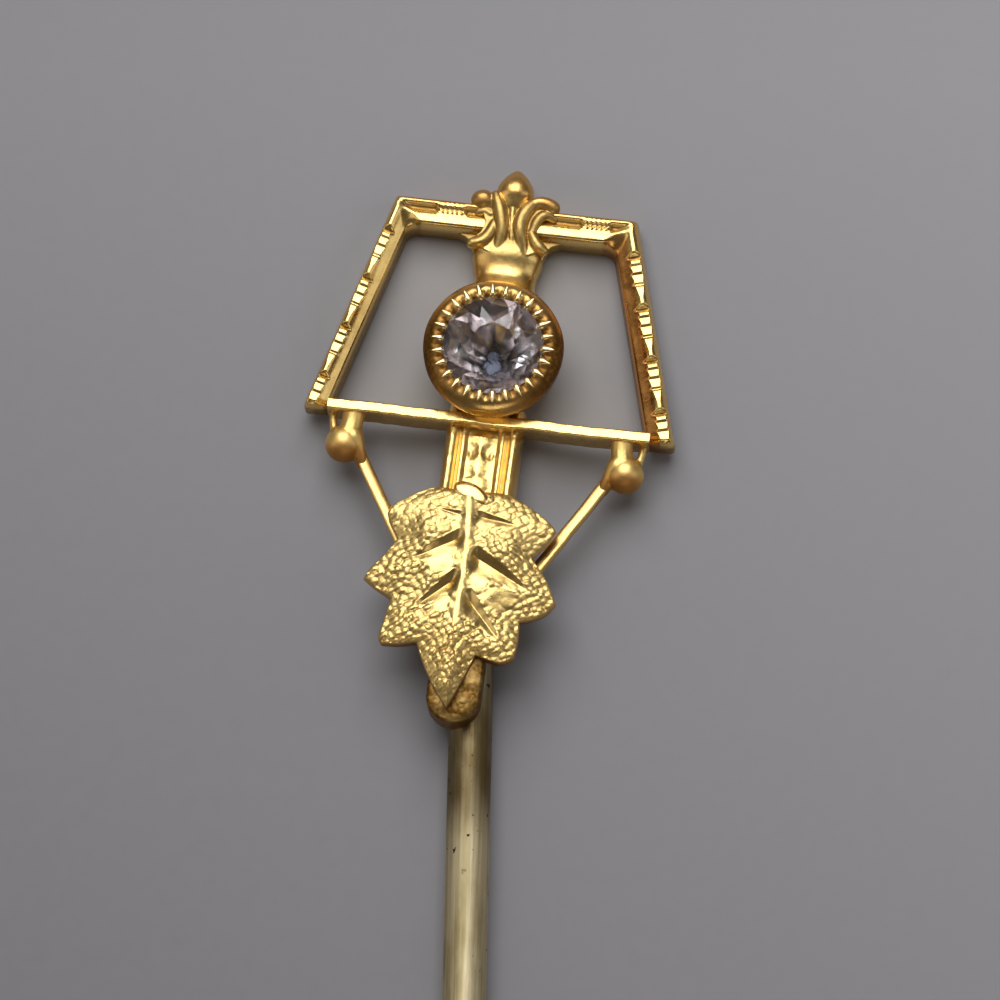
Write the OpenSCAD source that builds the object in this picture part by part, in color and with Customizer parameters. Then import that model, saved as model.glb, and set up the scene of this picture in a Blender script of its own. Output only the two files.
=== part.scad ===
// Stick pin: an openwork gold head with one round stone, on a long straight wire stem.
// It lies on its back. +Z is up, out of the face, +Y runs from the point towards the head.
// The head is drawn in its own flat frame, x to the right, y up its middle line and z out
// of the face, with the stone's centre at x 0, y 0 and the head's back at z 0.

/* [Stem] */
// Diameter of the stem's wire
stem_d = 1.0; // [0.9:0.05:1.1]
// Length of the whole pin, from the lily's tip to the point
pin_length = 63; // [50:1:75]
// Length of the tapered point
point_length = 6; // [3:1:10]
// Depth of the stem's seat at the lower end of the head
seat_depth = 0.25; // [0.15:0.05:0.3]
// Angle that the head is turned on the stem, seen from the front
head_turn = 5.75; // [0:0.25:6]

/* [Frame] */
// Half the outer width of the frame at its top
top_half = 2.86; // [2.6:0.02:3]
// Half the outer width of the frame at its bottom
bottom_half = 4.36; // [4.1:0.02:4.6]
// Height of the frame's top edge above the stone's centre
top_y = 3.7; // [3.6:0.05:3.8]
// Depth of the frame's bottom edge below the stone's centre
bottom_y = 1.68; // [1.62:0.01:1.75]
// Distance that the frame sits to the right of the stone
frame_shift = 0.08; // [0:0.02:0.1]
// Width of the top bar
bar_w = 0.76; // [0.66:0.02:0.8]
// Width of the left side bar
left_w = 0.58; // [0.54:0.02:0.66]
// Width of the right side bar
right_w = 0.68; // [0.6:0.02:0.74]
// Thickness of a frame bar, from back to face
bar_t = 0.8; // [0.7:0.05:0.9]
// Groups of cuts on each side bar
cut_groups = 4; // [1:1:4]
// Distance from one group of cuts to the next, along the bar
group_step = 1.28; // [1.1:0.02:1.3]

/* [Bezel and stone] */
// Outer radius of the bezel
bezel_r = 1.63; // [1.6:0.01:1.7]
// Height of the bezel's rim
bezel_h = 1.72; // [1.65:0.01:1.8]
// Number of grains inside the rim
grain_count = 26; // [20:1:30]
// Radius of the stone's girdle
stone_r = 1.3; // [1.25:0.01:1.32]

/* [Leaf] */
// Height of the leaf's edge above the head's back
leaf_edge_z = 1.05; // [1:0.01:1.1]
// Height by which the leaf's middle stands above its edge
leaf_dome = 0.3; // [0.15:0.05:0.4]

/* [Hidden] */
gold = [0.86, 0.68, 0.28];
pale_gilt = [0.62, 0.57, 0.44];
fit_gap = 0.03;
overlap = 0.05;

// Sizes of the small parts of the head
lily_tip_y = 4.6;
crossbar_y = -1.62;
crossbar_t = 0.27;
crossbar_z = 0.95;
column_half = 0.9;
column_end_y = -3.75;
strip_half = 0.62;
strip_t = 0.9;
strip_top_y = -3.5;
strip_end_y = -8.7;
strip_shift = 0.1;
ball_r = 0.44;
ball_at = [3.27, -2.45, 0.5];
wire_r = 0.16;
wire_z = 0.38;
wire_top = [2.96, -2.46];
wire_foot = [0.54, -6.55];

// The head leans back until the stem and the frame's top corners touch the ground
head_lean = asin((stem_d - seat_depth) / (top_y - strip_end_y));
rest_z = top_y * sin(head_lean);
turn_y = -3.5;
seat_top_y = -3.95;
head_y = pin_length / 2 - (lily_tip_y - turn_y) * cos(head_turn) * cos(head_lean);
seat_r = stem_d / 2 - 0.01;
seat_sides = 12;
stem_top = head_y - (turn_y - seat_top_y);
shoulder_y = head_y - (turn_y - strip_end_y);
point_y = -pin_length / 2;

// Frame bar profile, from the outer edge inwards: a narrow ridge, a groove and a broad ridge
// Each row is [share of the bar's width, share of its thickness]
bar_rows = [
  [0, 0], [0, 0.68], [0.06, 0.88], [0.18, 0.98], [0.29, 0.9], [0.34, 0.76], [0.4, 0.76],
  [0.49, 0.92], [0.64, 1], [0.8, 0.95], [0.94, 0.8], [1, 0.6], [1, 0],
];

// Lily, right side: each row is [x, y, z, radius]
petal_rows = [
  [0.35, 2.62, 0.84, 0.09], [0.3, 2.82, 0.9, 0.1], [0.21, 3.06, 0.93, 0.11], [0.2, 3.3, 0.94, 0.11],
  [0.28, 3.53, 0.92, 0.12], [0.42, 3.72, 0.88, 0.13], [0.59, 3.81, 0.83, 0.15], [0.77, 3.77, 0.78, 0.2],
];
sepal_rows = [[0.46, 3.14, 0.81, 0.09], [0.6, 2.92, 0.81, 0.1], [0.79, 2.73, 0.75, 0.11]];
fold_rows = [[0.59, 3.27, 0.78, 0.09], [0.67, 3.46, 0.78, 0.09], [0.87, 3.55, 0.73, 0.09]];
// Lily bud, turned about the head's middle line: each row is [radius, y]
bud_rows = [
  [0, lily_tip_y], [0.08, 4.52], [0.24, 4.34], [0.37, 4.17], [0.4, 4.05], [0.33, 3.87], [0.21, 3.66], [0.16, 3.43],
  [0, 3.43],
];

// Leaf lobes, from the top down: each row is
// [tip x, tip y, notch x, notch y below it, midrib y across from the tip, and from the notch]
left_lobes = [
  [-1.92, -4.04, -1.58, -4.66, -3.9, -4.3],
  [-2.26, -5.66, -1.53, -6.08, -4.9, -5.4],
  [-1.68, -7.12, -0.82, -7.02, -6.1, -6.7],
];
right_lobes = [
  [1.91, -4.07, 1.54, -4.72, -3.9, -4.3],
  [2.2, -5.69, 1.42, -6.24, -4.9, -5.4],
  [1.38, -7.2, 0.56, -7.12, -6.1, -6.7],
];
leaf_head = [0.5, -3.32, -3.6];
leaf_tip = [0.04, -8.39, -8.1];
leaf_bottom_z = 0.86;
leaf_bulge = 0.1;
edge_steps = 4;
rings = 5;
// Veins, cut as grooves: each row is [start x, start y, end x, end y]
vein_rows = [
  [-0.2, -4.02, -0.85, -3.93], [0.08, -3.95, 1.1, -4.07],
  [-0.19, -4.52, -1.2, -5.22], [0.05, -4.98, 1.57, -5.67],
  [-0.12, -5.43, -1.0, -6.29], [0, -5.88, 0.98, -6.9],
];

// Places the head's own frame on the pin as it lies
module place_head() {
  translate([0, head_y, 0])
    rotate([0, 0, -head_turn])
      translate([0, -turn_y, rest_z])
        rotate([-head_lean, 0, 0])
          children();
}

// Both halves of a thing drawn on the right
module both_sides() {
  children();
  mirror([1, 0, 0]) children();
}

// A rounded strand through rows of [x, y, z, radius]
module strand(rows) {
  for (i = [0:len(rows) - 2])
    hull()
      for (row = [rows[i], rows[i + 1]])
        translate([row[0], row[1], row[2]]) sphere(r = row[3], $fn = 10);
}

// Frame: one profile carried round three bars, mitred at the two top corners
slope = atan2(bottom_half - top_half, top_y + bottom_y);
left_reach = left_w / cos(slope);
right_reach = right_w / cos(slope);
mitre_back = bar_w * tan(slope);
// Each row is [x and y of the outer edge, reach in x and in y to the inner edge]
stations = [
  [-bottom_half, -bottom_y, left_reach, 0],
  [-top_half, top_y, left_reach - mitre_back, -bar_w],
  [top_half, top_y, mitre_back - right_reach, -bar_w],
  [bottom_half, -bottom_y, -right_reach, 0],
];
module frame_bars() {
  count = len(bar_rows);
  points = [
    for (s = stations, row = bar_rows)
      [s[0] + s[2] * row[0], s[1] + s[3] * row[0], row[1] * bar_t],
  ];
  sides = [
    for (k = [0:len(stations) - 2], j = [0:count - 1])
      [k * count + j, (k + 1) * count + j, (k + 1) * count + (j + 1) % count, k * count + (j + 1) % count],
  ];
  first = [for (j = [0:count - 1]) j];
  last = [for (j = [0:count - 1]) 4 * count - 1 - j];
  polyhedron(points, concat(sides, [first, last]), convexity = 6);
}

// One V cut across the outer ridge of the right bar, at a distance down from its top corner
module ridge_cut(down, width) {
  cut_depth = 0.1;
  translate([top_half, top_y, bar_t])
    rotate([0, 0, slope])
      translate([-0.36 * width, -down, 0])
        rotate([0, 90, 0]) cylinder(r = cut_depth, h = width * 0.6, $fn = 4);
}

// The groups of cuts down a side bar of the given width
module side_cuts(width) {
  first_group = 0.92;
  cuts = 4;
  cut_step = 0.22;
  for (g = [0:cut_groups - 1], c = [0:cuts - 1])
    ridge_cut(first_group + g * group_step + c * cut_step, width);
}

module frame() {
  difference() {
    frame_bars();
    side_cuts(right_w);
    mirror([1, 0, 0]) side_cuts(left_w);
  }
}

// Lily over the middle of the top bar
module lily() {
  plate = [[0.86, 2.46], [0.93, 2.74], [0.62, 3.05], [0.62, 3.5], [0.86, 3.73], [0.5, 3.86], [0.2, 3.82]];
  translate([0, 0, 0.08])
    linear_extrude(0.7)
      polygon(concat(plate, [for (p = reversed(plate)) [-p[0], p[1]]]));
  both_sides() {
    strand(petal_rows);
    strand(sepal_rows);
    strand(fold_rows);
  }
  strand([[0, 2.62, 0.81, 0.08], [0, 3.19, 0.85, 0.08], [0, 3.61, 0.81, 0.09]]);
  translate([0, 0, 0.56])
    rotate([-90, 0, 0])
      rotate_extrude($fn = 16) polygon([for (row = bud_rows) [row[0], row[1]]]);
}

// Neck from the lily down to the bezel, with hollow corners under the top bar
module neck() {
  bar_under = top_y - bar_w;
  corner_r = 0.3;
  foot_half = 0.82;
  waist_half = 0.7;
  hull() {
    translate([-foot_half, 2.5, 0]) cube([2 * foot_half, 0.1, 0.6]);
    translate([-foot_half + 0.15, 2.5, 0]) cube([2 * foot_half - 0.3, 0.1, 0.76]);
    translate([-waist_half, 2.1, 0]) cube([2 * waist_half, 0.1, 0.52]);
    translate([-waist_half + 0.2, 2.1, 0]) cube([2 * waist_half - 0.4, 0.1, 0.68]);
  }
  hull() {
    translate([-waist_half, 1.2, 0]) cube([2 * waist_half, 1, 0.52]);
    translate([-waist_half + 0.2, 1.2, 0]) cube([2 * waist_half - 0.4, 1, 0.68]);
  }
  both_sides()
    linear_extrude(0.5)
      difference() {
        translate([0.7, bar_under - corner_r]) square([corner_r + 0.2, corner_r + overlap]);
        translate([foot_half + corner_r, bar_under - corner_r + 0.03]) circle(r = corner_r, $fn = 24);
      }
}

// Bezel: a closed cup whose rim laps over the stone's girdle
module bezel() {
  rim = [
    [0, 0], [1.28, 0], [1.46, 0.45], [bezel_r - 0.05, 0.99], [bezel_r, 1.34], [bezel_r - 0.02, 1.52],
    [bezel_r - 0.1, bezel_h - 0.06], [bezel_r - 0.2, bezel_h], [1.33, bezel_h - 0.03], [1.24, 1.57], [1.19, 1.46],
    [stone_r + fit_gap, 1.36], [stone_r + fit_gap, 1.22], [0.3, 0.18], [0, 0.18],
  ];
  rotate_extrude($fn = 48) polygon(rim);
  for (k = [0:grain_count - 1])
    rotate([0, 0, k * 360 / grain_count])
      translate([1.255, 0, 1.565])
        rotate([0, -45, 0])
          scale([0.7, 1, 1.5]) sphere(r = 0.097, $fn = 8);
}

// Crossbar: a thin strip on edge between the bars' lower ends, longer at its back
module crossbar() {
  back_half = bottom_half - 0.7 * left_w;
  half = back_half - 0.22;
  edge = 0.07;
  hull() {
    translate([-back_half, crossbar_y - crossbar_t / 2, 0]) cube([2 * back_half, crossbar_t, 0.4]);
    translate([-half, crossbar_y - crossbar_t / 2, 0]) cube([2 * half, crossbar_t, crossbar_z - edge]);
    translate([-half, crossbar_y - crossbar_t / 2 + edge, 0]) cube([2 * half, crossbar_t - 2 * edge, crossbar_z]);
  }
}

// Column: a grooved pilaster with a block, a stalk, a bead and a bar on its panel
module column() {
  panel_z = 0.46;
  flutes = [
    [0.9, 0], [0.9, 0.36], [0.86, 0.46], [0.77, 0.52], [0.7, 0.62], [0.6, 0.6], [0.55, 0.46], [0.47, 0.56],
    [0.38, 0.54], [0.34, panel_z],
  ];
  profile = concat(
    [for (p = flutes) [p[0] * column_half / 0.9, p[1]]],
    [for (i = [1:len(flutes)]) [-flutes[len(flutes) - i][0] * column_half / 0.9, flutes[len(flutes) - i][1]]]
  );
  translate([0, -1.2, 0]) rotate([90, 0, 0]) linear_extrude(-1.2 - column_end_y) polygon(profile);
  translate([-0.2, -2.15, panel_z - overlap]) cube([0.4, 0.22, 0.2]);
  translate([-0.1, -2.5, panel_z - overlap]) cube([0.2, 0.4, 0.14]);
  translate([-0.1, -2.66, panel_z]) sphere(r = 0.19, $fn = 12);
  translate([-0.26, -3.12, panel_z - overlap]) cube([0.52, 0.14, 0.16]);
}

// A ball under the right end of the crossbar, with its neck and a thin outer lug
module ball_and_lug() {
  translate(ball_at) sphere(r = ball_r, $fn = 16);
  strand([[3.22, -1.65, 0.5, 0.14], [3.25, -2.15, 0.5, 0.2]]);
  strand([[3.62, -1.62, 0.45, 0.09], [3.5, -2.15, 0.45, 0.09]]);
}

// A strut from the right ball down to the side of the backing strip
module wire() {
  strand([[wire_top[0], wire_top[1], wire_z, wire_r], [wire_foot[0], wire_foot[1], wire_z, wire_r]]);
}

// Backing strip behind the leaf, round at its lower end
module strip() {
  linear_extrude(strip_t)
    union() {
      translate([-strip_half, strip_end_y + strip_half])
        square([2 * strip_half, strip_top_y - strip_end_y - strip_half]);
      translate([0, strip_end_y + strip_half]) circle(r = strip_half, $fn = 24);
    }
}

// Leaf outline: slightly bowed edges between the tips and notches of the table
// Each point is [x, y, midrib y that it is drawn from]
function bowed(a, b, side) = [
  for (i = [0:edge_steps - 1])
    let (
      t = i / edge_steps,
      bow = leaf_bulge * 4 * t * (1 - t) * norm([b[0] - a[0], b[1] - a[1]]) / 2,
      across = [-(b[1] - a[1]), b[0] - a[0]] / norm([b[0] - a[0], b[1] - a[1]])
    )
      [
        a[0] + (b[0] - a[0]) * t + side * across[0] * bow,
        a[1] + (b[1] - a[1]) * t + side * across[1] * bow,
        a[2] + (b[2] - a[2]) * t,
      ],
];
function corners(lobes, start) = concat(
  [start],
  [for (l = lobes) each [[l[0], l[1], l[4]], [l[2], l[3], l[5]]]],
  [leaf_tip]
);
function side_points(c, side) = [for (i = [0:len(c) - 2]) each bowed(c[i], c[i + 1], side)];
function reversed(list) = [for (i = [1:len(list)]) list[len(list) - i]];
right_edge = side_points(corners(right_lobes, leaf_head), 1);
left_edge = side_points(corners(left_lobes, [-leaf_head[0], leaf_head[1], leaf_head[2]]), -1);
leaf_outline = concat(right_edge, [leaf_tip], reversed(left_edge));

// Leaf: rings of the outline drawn in towards the midrib, domed on top and flat beneath
module leaf_body() {
  n = len(leaf_outline);
  top = [
    for (k = [0:rings - 1], p = leaf_outline)
      let (t = 1 - 0.96 * k / (rings - 1))
        [p[0] * t, p[2] + (p[1] - p[2]) * t, leaf_edge_z + leaf_dome * (1 - pow(t, 2.5))],
  ];
  bottom = [for (p = leaf_outline) [p[0], p[1], leaf_bottom_z]];
  skin = [
    for (k = [0:rings - 2], j = [0:n - 1])
      each [
        [k * n + j, (k + 1) * n + (j + 1) % n, (k + 1) * n + j],
        [k * n + j, k * n + (j + 1) % n, (k + 1) * n + (j + 1) % n],
      ],
  ];
  wall = [
    for (j = [0:n - 1])
      each [
        [rings * n + j, (j + 1) % n, j],
        [rings * n + j, rings * n + (j + 1) % n, (j + 1) % n],
      ],
  ];
  inner = [for (j = [0:n - 1]) (rings - 1) * n + j];
  under = [for (j = [0:n - 1]) rings * n + n - 1 - j];
  polyhedron(concat(top, bottom), concat(skin, wall, [inner, under]), convexity = 8);
}

module vein_cut(v) {
  depth = 0.12;
  run = [v[2] - v[0], v[3] - v[1]];
  hull() {
    translate([v[0], v[1], leaf_edge_z + leaf_dome + 0.12]) sphere(r = depth * 1.3, $fn = 6);
    translate([v[0] + run[0] * 0.55, v[1] + run[1] * 0.55, leaf_edge_z + leaf_dome * 0.85])
      sphere(r = depth * 1.1, $fn = 6);
    translate([v[2], v[3], leaf_edge_z + leaf_dome * 0.6]) sphere(r = depth * 0.5, $fn = 6);
  }
}

module leaf() {
  difference() {
    leaf_body();
    for (v = vein_rows) vein_cut(v);
  }
  strand([
    [-0.16, -3.75, 1.3, 0.1], [-0.08, -4.9, 1.36, 0.1], [-0.09, -6.0, 1.34, 0.08], [-0.05, -7.6, 1.22, 0.05],
  ]);
  strand([[-0.45, -3.4, 1.1, 0.16], [-0.16, -3.5, 1.2, 0.2], [0.18, -3.62, 1.15, 0.15]]);
}

// The hollow that the stem is soldered into, at the back of the strip
module stem_seat() {
  run_out = 1.1;
  translate([0, shoulder_y - run_out, stem_d / 2])
    rotate([-90, 0, 0])
      cylinder(r = stem_d / 2 + fit_gap, h = stem_top - shoulder_y + run_out + fit_gap, $fn = 32);
}

module head() {
  color(gold)
    difference() {
      place_head() {
        translate([frame_shift, 0, 0]) {
          frame();
          crossbar();
          both_sides() {
            ball_and_lug();
            wire();
          }
        }
        lily();
        neck();
        bezel();
        column();
        translate([strip_shift, 0, 0]) strip();
        leaf();
      }
      place_head() rotate_extrude($fn = 48)
        polygon([[0, 0.18], [0.3, 0.18], [stone_r + fit_gap, 1.22], [stone_r + fit_gap, 1.36], [0, 1.6]]);
      stem_seat();
    }
}

// Stone: a round brilliant with a table, eight kites, eight stars and sixteen halves above
function ring_point(r, angle, z) = [r * cos(angle), r * sin(angle), z];
function half_cut(r, table_r, mid_r, height, z) = concat(
  [for (k = [0:7]) ring_point(table_r, 45 * k, z + height)],
  [for (k = [0:7]) ring_point(mid_r, 45 * k + 22.5, z + height * (r - mid_r * cos(22.5)) / (r - table_r))],
  [for (k = [0:15]) ring_point(r, 22.5 * k, z)]
);
half_faces = [
  [for (k = [0:7]) 7 - k],
  for (k = [0:7])
    each [
      [k, (k + 1) % 8, 8 + k],
      [k, 8 + k, 16 + 2 * k],
      [k, 16 + 2 * k, 8 + (k + 7) % 8],
      [8 + k, 16 + 2 * k + 1, 16 + 2 * k],
      [8 + k, 16 + (2 * k + 2) % 16, 16 + 2 * k + 1],
    ],
];
module stone_body() {
  girdle_z = 1.26;
  girdle_t = 0.05;
  upper = half_cut(stone_r, 0.62, 0.98, 0.46, girdle_z + girdle_t);
  lower = half_cut(stone_r, 0.14, 0.5, -1.0, girdle_z);
  band = [
    for (k = [0:15])
      each [[16 + k, 16 + (k + 1) % 16, 48 + k], [16 + (k + 1) % 16, 48 + (k + 1) % 16, 48 + k]],
  ];
  polyhedron(
    concat(upper, lower),
    concat(
      half_faces,
      [for (f = half_faces) [for (i = [1:len(f)]) 32 + f[len(f) - i]]],
      band
    )
  );
}
module stone() {
  color([0.88, 0.88, 0.92, 0.6]) place_head() stone_body();
}

// Stem: a straight wire, filed to twelve flats where it is seated, with a tapered point
module stem() {
  color(pale_gilt)
    translate([0, 0, stem_d / 2])
      rotate([-90, 0, 0]) {
        translate([0, 0, point_y]) cylinder(r1 = 0.06, r2 = stem_d / 2, h = point_length, $fn = 32);
        translate([0, 0, point_y + point_length])
          cylinder(r = stem_d / 2, h = shoulder_y - point_y - point_length, $fn = 32);
        translate([0, 0, shoulder_y - overlap])
          cylinder(r = seat_r, h = stem_top - shoulder_y + overlap, $fn = seat_sides);
      }
}

head();
stone();
stem();
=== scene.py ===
"""Dresses a gold stick pin: an openwork head with one round stone, on a long wire stem.

The head's pieces are worked out in the head's own flat frame, in millimetres: x to the
right, y up its middle line, z out of the face, with the stone's centre at x 0, y 0 and
the head's back at z 0. HeadSeat carries them to their place on the pin, in metres.
"""

from __future__ import annotations

import logging
import math
from dataclasses import dataclass, field
from enum import Enum

import bmesh
import bpy
import numpy as np
from mathutils import Matrix, Vector


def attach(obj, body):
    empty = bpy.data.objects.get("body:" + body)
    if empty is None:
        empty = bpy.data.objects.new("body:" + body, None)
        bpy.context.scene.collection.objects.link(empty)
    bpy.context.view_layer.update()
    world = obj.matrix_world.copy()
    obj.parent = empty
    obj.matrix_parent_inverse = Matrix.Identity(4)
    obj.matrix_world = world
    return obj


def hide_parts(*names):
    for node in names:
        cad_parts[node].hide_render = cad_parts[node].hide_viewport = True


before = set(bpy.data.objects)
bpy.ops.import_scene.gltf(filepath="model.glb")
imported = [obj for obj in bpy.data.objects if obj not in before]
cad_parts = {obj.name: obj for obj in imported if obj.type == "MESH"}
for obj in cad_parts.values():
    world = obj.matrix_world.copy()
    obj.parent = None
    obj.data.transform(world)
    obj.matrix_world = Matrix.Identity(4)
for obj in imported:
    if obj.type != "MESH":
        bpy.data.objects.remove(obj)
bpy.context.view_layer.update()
BODY = "root"
MM = 0.001
TURN = 2 * math.pi
Array = np.ndarray
Material = bpy.types.Material
Socket = bpy.types.NodeSocket
Table = tuple[tuple[float, ...], ...]
Pair = tuple[float, float]
Triple = tuple[float, float, float]
Colour = tuple[float, float, float, float]
log = logging.getLogger("stick_pin")


class Node(Enum):
    """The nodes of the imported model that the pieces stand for."""

    HEAD = "head"
    STONE = "stone"
    STEM = "stem"


class Slot(Enum):
    """The record's material slots."""

    GOLD = "gold"
    STONE = "stone"
    STEM = "stem_metal"


class Side(Enum):
    """Left and right of the head's middle line, as a sign on x."""

    LEFT = -1
    RIGHT = 1


@dataclass(frozen=True)
class HeadSeat:
    """Where the head's flat frame lies on the pin, in millimetres and degrees."""

    turn: float = 5.75
    stem_d: float = 1.0
    seat_depth: float = 0.25
    top_y: float = 3.7
    strip_end_y: float = -8.7
    lily_tip_y: float = 4.6
    turn_y: float = -3.5
    pin_length: float = 63.0

    def matrix(self) -> Matrix:
        """Gives the matrix from the head's frame in mm to the pin's frame in metres."""
        lean = math.asin((self.stem_d - self.seat_depth) / (self.top_y - self.strip_end_y))
        reach = (self.lily_tip_y - self.turn_y) * math.cos(math.radians(self.turn)) * math.cos(lean)
        return (
            Matrix.Scale(MM, 4)
            @ Matrix.Translation((0, self.pin_length / 2 - reach, 0))
            @ Matrix.Rotation(-math.radians(self.turn), 4, "Z")
            @ Matrix.Translation((0, -self.turn_y, self.top_y * math.sin(lean)))
            @ Matrix.Rotation(-lean, 4, "X")
        )


@dataclass
class Shape:
    """A mesh under construction.

    Attributes:
        points: one row of x, y, z for each vertex, in millimetres.
        faces: index lists, one for each face.
        marks: values for each vertex, under the name that the materials read.
    """

    points: Array
    faces: list[list[int]]
    marks: dict[str, Array] = field(default_factory=dict)

    def moved(self, offset: Triple) -> Shape:
        """Gives the shape moved by an offset in millimetres."""
        return Shape(self.points + np.array(offset), self.faces, dict(self.marks))


def linked(name: str, data: bpy.types.ID) -> bpy.types.Object:
    """Puts a new object with a mesh, light or camera in the scene."""
    obj = bpy.data.objects.new(name, data)
    bpy.context.scene.collection.objects.link(obj)
    return obj


def smoothstep(low: float, high: float, x: Array) -> Array:
    """Rises smoothly from 0 at low to 1 at high."""
    t = np.clip((x - low) / (high - low), 0, 1)
    return t * t * (3 - 2 * t)


def between(x: Array, out_low: float, low: float, high: float, out_high: float) -> Array:
    """Gives 1 from low to high, falling smoothly to 0 at out_low and out_high."""
    return smoothstep(out_low, low, x) * smoothstep(out_high, high, x)


def hill(x: Array, middle: float, wide: float) -> Array:
    """Gives a bell curve that is 1 at its middle."""
    return np.exp(-(((x - middle) / wide) ** 2))


def circle(count: int) -> Array:
    """Gives evenly spaced angles round a circle."""
    return np.linspace(0, TURN, count, endpoint=False)


def rounded_off(points: Array | Table, rounds: int, closed: bool = False) -> Array:
    """Cuts the corners of a polyline.

    Args:
        points: the polyline's points.
        rounds: how many times each corner is cut.
        closed: whether the last point joins the first.

    Returns:
        The longer list of points.
    """
    points = np.array(points, float)
    for _ in range(rounds):
        after = np.roll(points, -1, axis=0) if closed else points[1:]
        before = points if closed else points[:-1]
        cut = np.stack([0.75 * before + 0.25 * after, 0.25 * before + 0.75 * after], 1)
        cut = cut.reshape(-1, points.shape[1])
        points = cut if closed else np.vstack([points[:1], cut, points[-1:]])
    return points


def resampled(points: Array, count: int = 0, axes: int = 2, step: float = 0.03) -> Array:
    """Spaces points evenly along a polyline.

    Args:
        points: the polyline's points.
        count: how many points to return, or 0 for one to each step.
        axes: how many of the first columns the length is measured in.
        step: distance between points, in millimetres, where count is 0.

    Returns:
        The evenly spaced points, with both ends kept.
    """
    run = np.concatenate([[0], np.cumsum(np.linalg.norm(np.diff(points[:, :axes], axis=0), axis=1))])
    at = np.linspace(0, run[-1], count or max(6, int(run[-1] / step)))
    return np.stack([np.interp(at, run, column) for column in points.T], 1)


def cells(x: Array, y: Array, seed: int) -> tuple[Array, Array]:
    """Measures how far points lie from scattered cell centres, one in each unit square.

    Args:
        x: the points' x, in cells.
        y: the points' y, in cells.
        seed: which scatter to use.

    Returns:
        The distance to the nearest centre, and a fixed random value of that cell.
    """
    table = np.random.default_rng(seed).random((3, 256, 256))
    best, value = np.full(x.shape, 9.0), np.zeros(x.shape)
    for i in (-1, 0, 1):
        for j in (-1, 0, 1):
            cx, cy = np.floor(x).astype(int) + i, np.floor(y).astype(int) + j
            a, b, v = table[:, cx % 256, cy % 256]
            gap = np.hypot(cx + 0.15 + 0.7 * a - x, cy + 0.15 + 0.7 * b - y)
            closer = gap < best
            best, value = np.where(closer, gap, best), np.where(closer, v, value)
    return best, value


def mound(gap: Array, reach: float) -> Array:
    """Gives the height of a round mound, 1 where the gap is 0 and 0 from its reach on."""
    return np.clip(1 - (gap / reach) ** 2, 0, 1)


def soft_noise(x: Array, y: Array, seed: int) -> Array:
    """Gives smooth noise with features about one unit wide.

    Args:
        x: the points' x.
        y: the points' y.
        seed: which noise to use.

    Returns:
        A value from -1 to 1 for each point.
    """
    table = np.random.default_rng(seed).random((256, 256)) * 2 - 1
    ix, iy = np.floor(x).astype(int), np.floor(y).astype(int)
    fx, fy = smoothstep(0, 1, x - ix), smoothstep(0, 1, y - iy)
    low, high = (
        table[ix % 256, row % 256] * (1 - fx) + table[(ix + 1) % 256, row % 256] * fx
        for row in (iy, iy + 1)
    )
    return low * (1 - fy) + high * fy


def ring_faces(rings: int, n: int) -> list[list[int]]:
    """Lists the quads between closed rings of n points, numbered ring by ring."""
    r, c = np.meshgrid(np.arange(rings - 1), np.arange(n), indexing="ij")
    a, b = r * n + c, r * n + (c + 1) % n
    return np.stack([a, b, b + n, a + n], -1).reshape(-1, 4).tolist()


def lofted(rings: Array, **marks: Array) -> Shape:
    """Joins closed rings of points to a closed shape.

    Args:
        rings: an array of rings, points in a ring, and x, y, z.
        marks: named values, one for each point of each ring.

    Returns:
        The shape, with its first and last ring filled by its last two faces.
    """
    count, n = rings.shape[:2]
    ends = [list(range(n)), [(count - 1) * n + k for k in reversed(range(n))]]
    values = {name: np.broadcast_to(mark, (count, n)).ravel() for name, mark in marks.items()}
    return Shape(rings.reshape(-1, 3), ring_faces(count, n) + ends, values)


def ball(centre: Triple, radii: Triple, steps: int = 16) -> Shape:
    """Makes a closed ball.

    Args:
        centre: its middle.
        radii: its half sizes along x, y and z.
        steps: rings from pole to pole, with twice as many points round.

    Returns:
        The ball.
    """
    cols, rows = 2 * steps, steps - 1
    polar = np.linspace(0, math.pi, steps + 1)[1:-1]
    p, a = np.meshgrid(polar, circle(cols), indexing="ij")
    unit = np.stack([np.sin(p) * np.cos(a), np.sin(p) * np.sin(a), np.cos(p)], -1).reshape(-1, 3)
    top, bottom, last = rows * cols, rows * cols + 1, (rows - 1) * cols
    faces = ring_faces(rows, cols)
    faces += [[top, (k + 1) % cols, k] for k in range(cols)]
    faces += [[bottom, last + k, last + (k + 1) % cols] for k in range(cols)]
    return Shape(np.vstack([unit, [[0, 0, 1], [0, 0, -1]]]) * radii + centre, faces)


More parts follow.
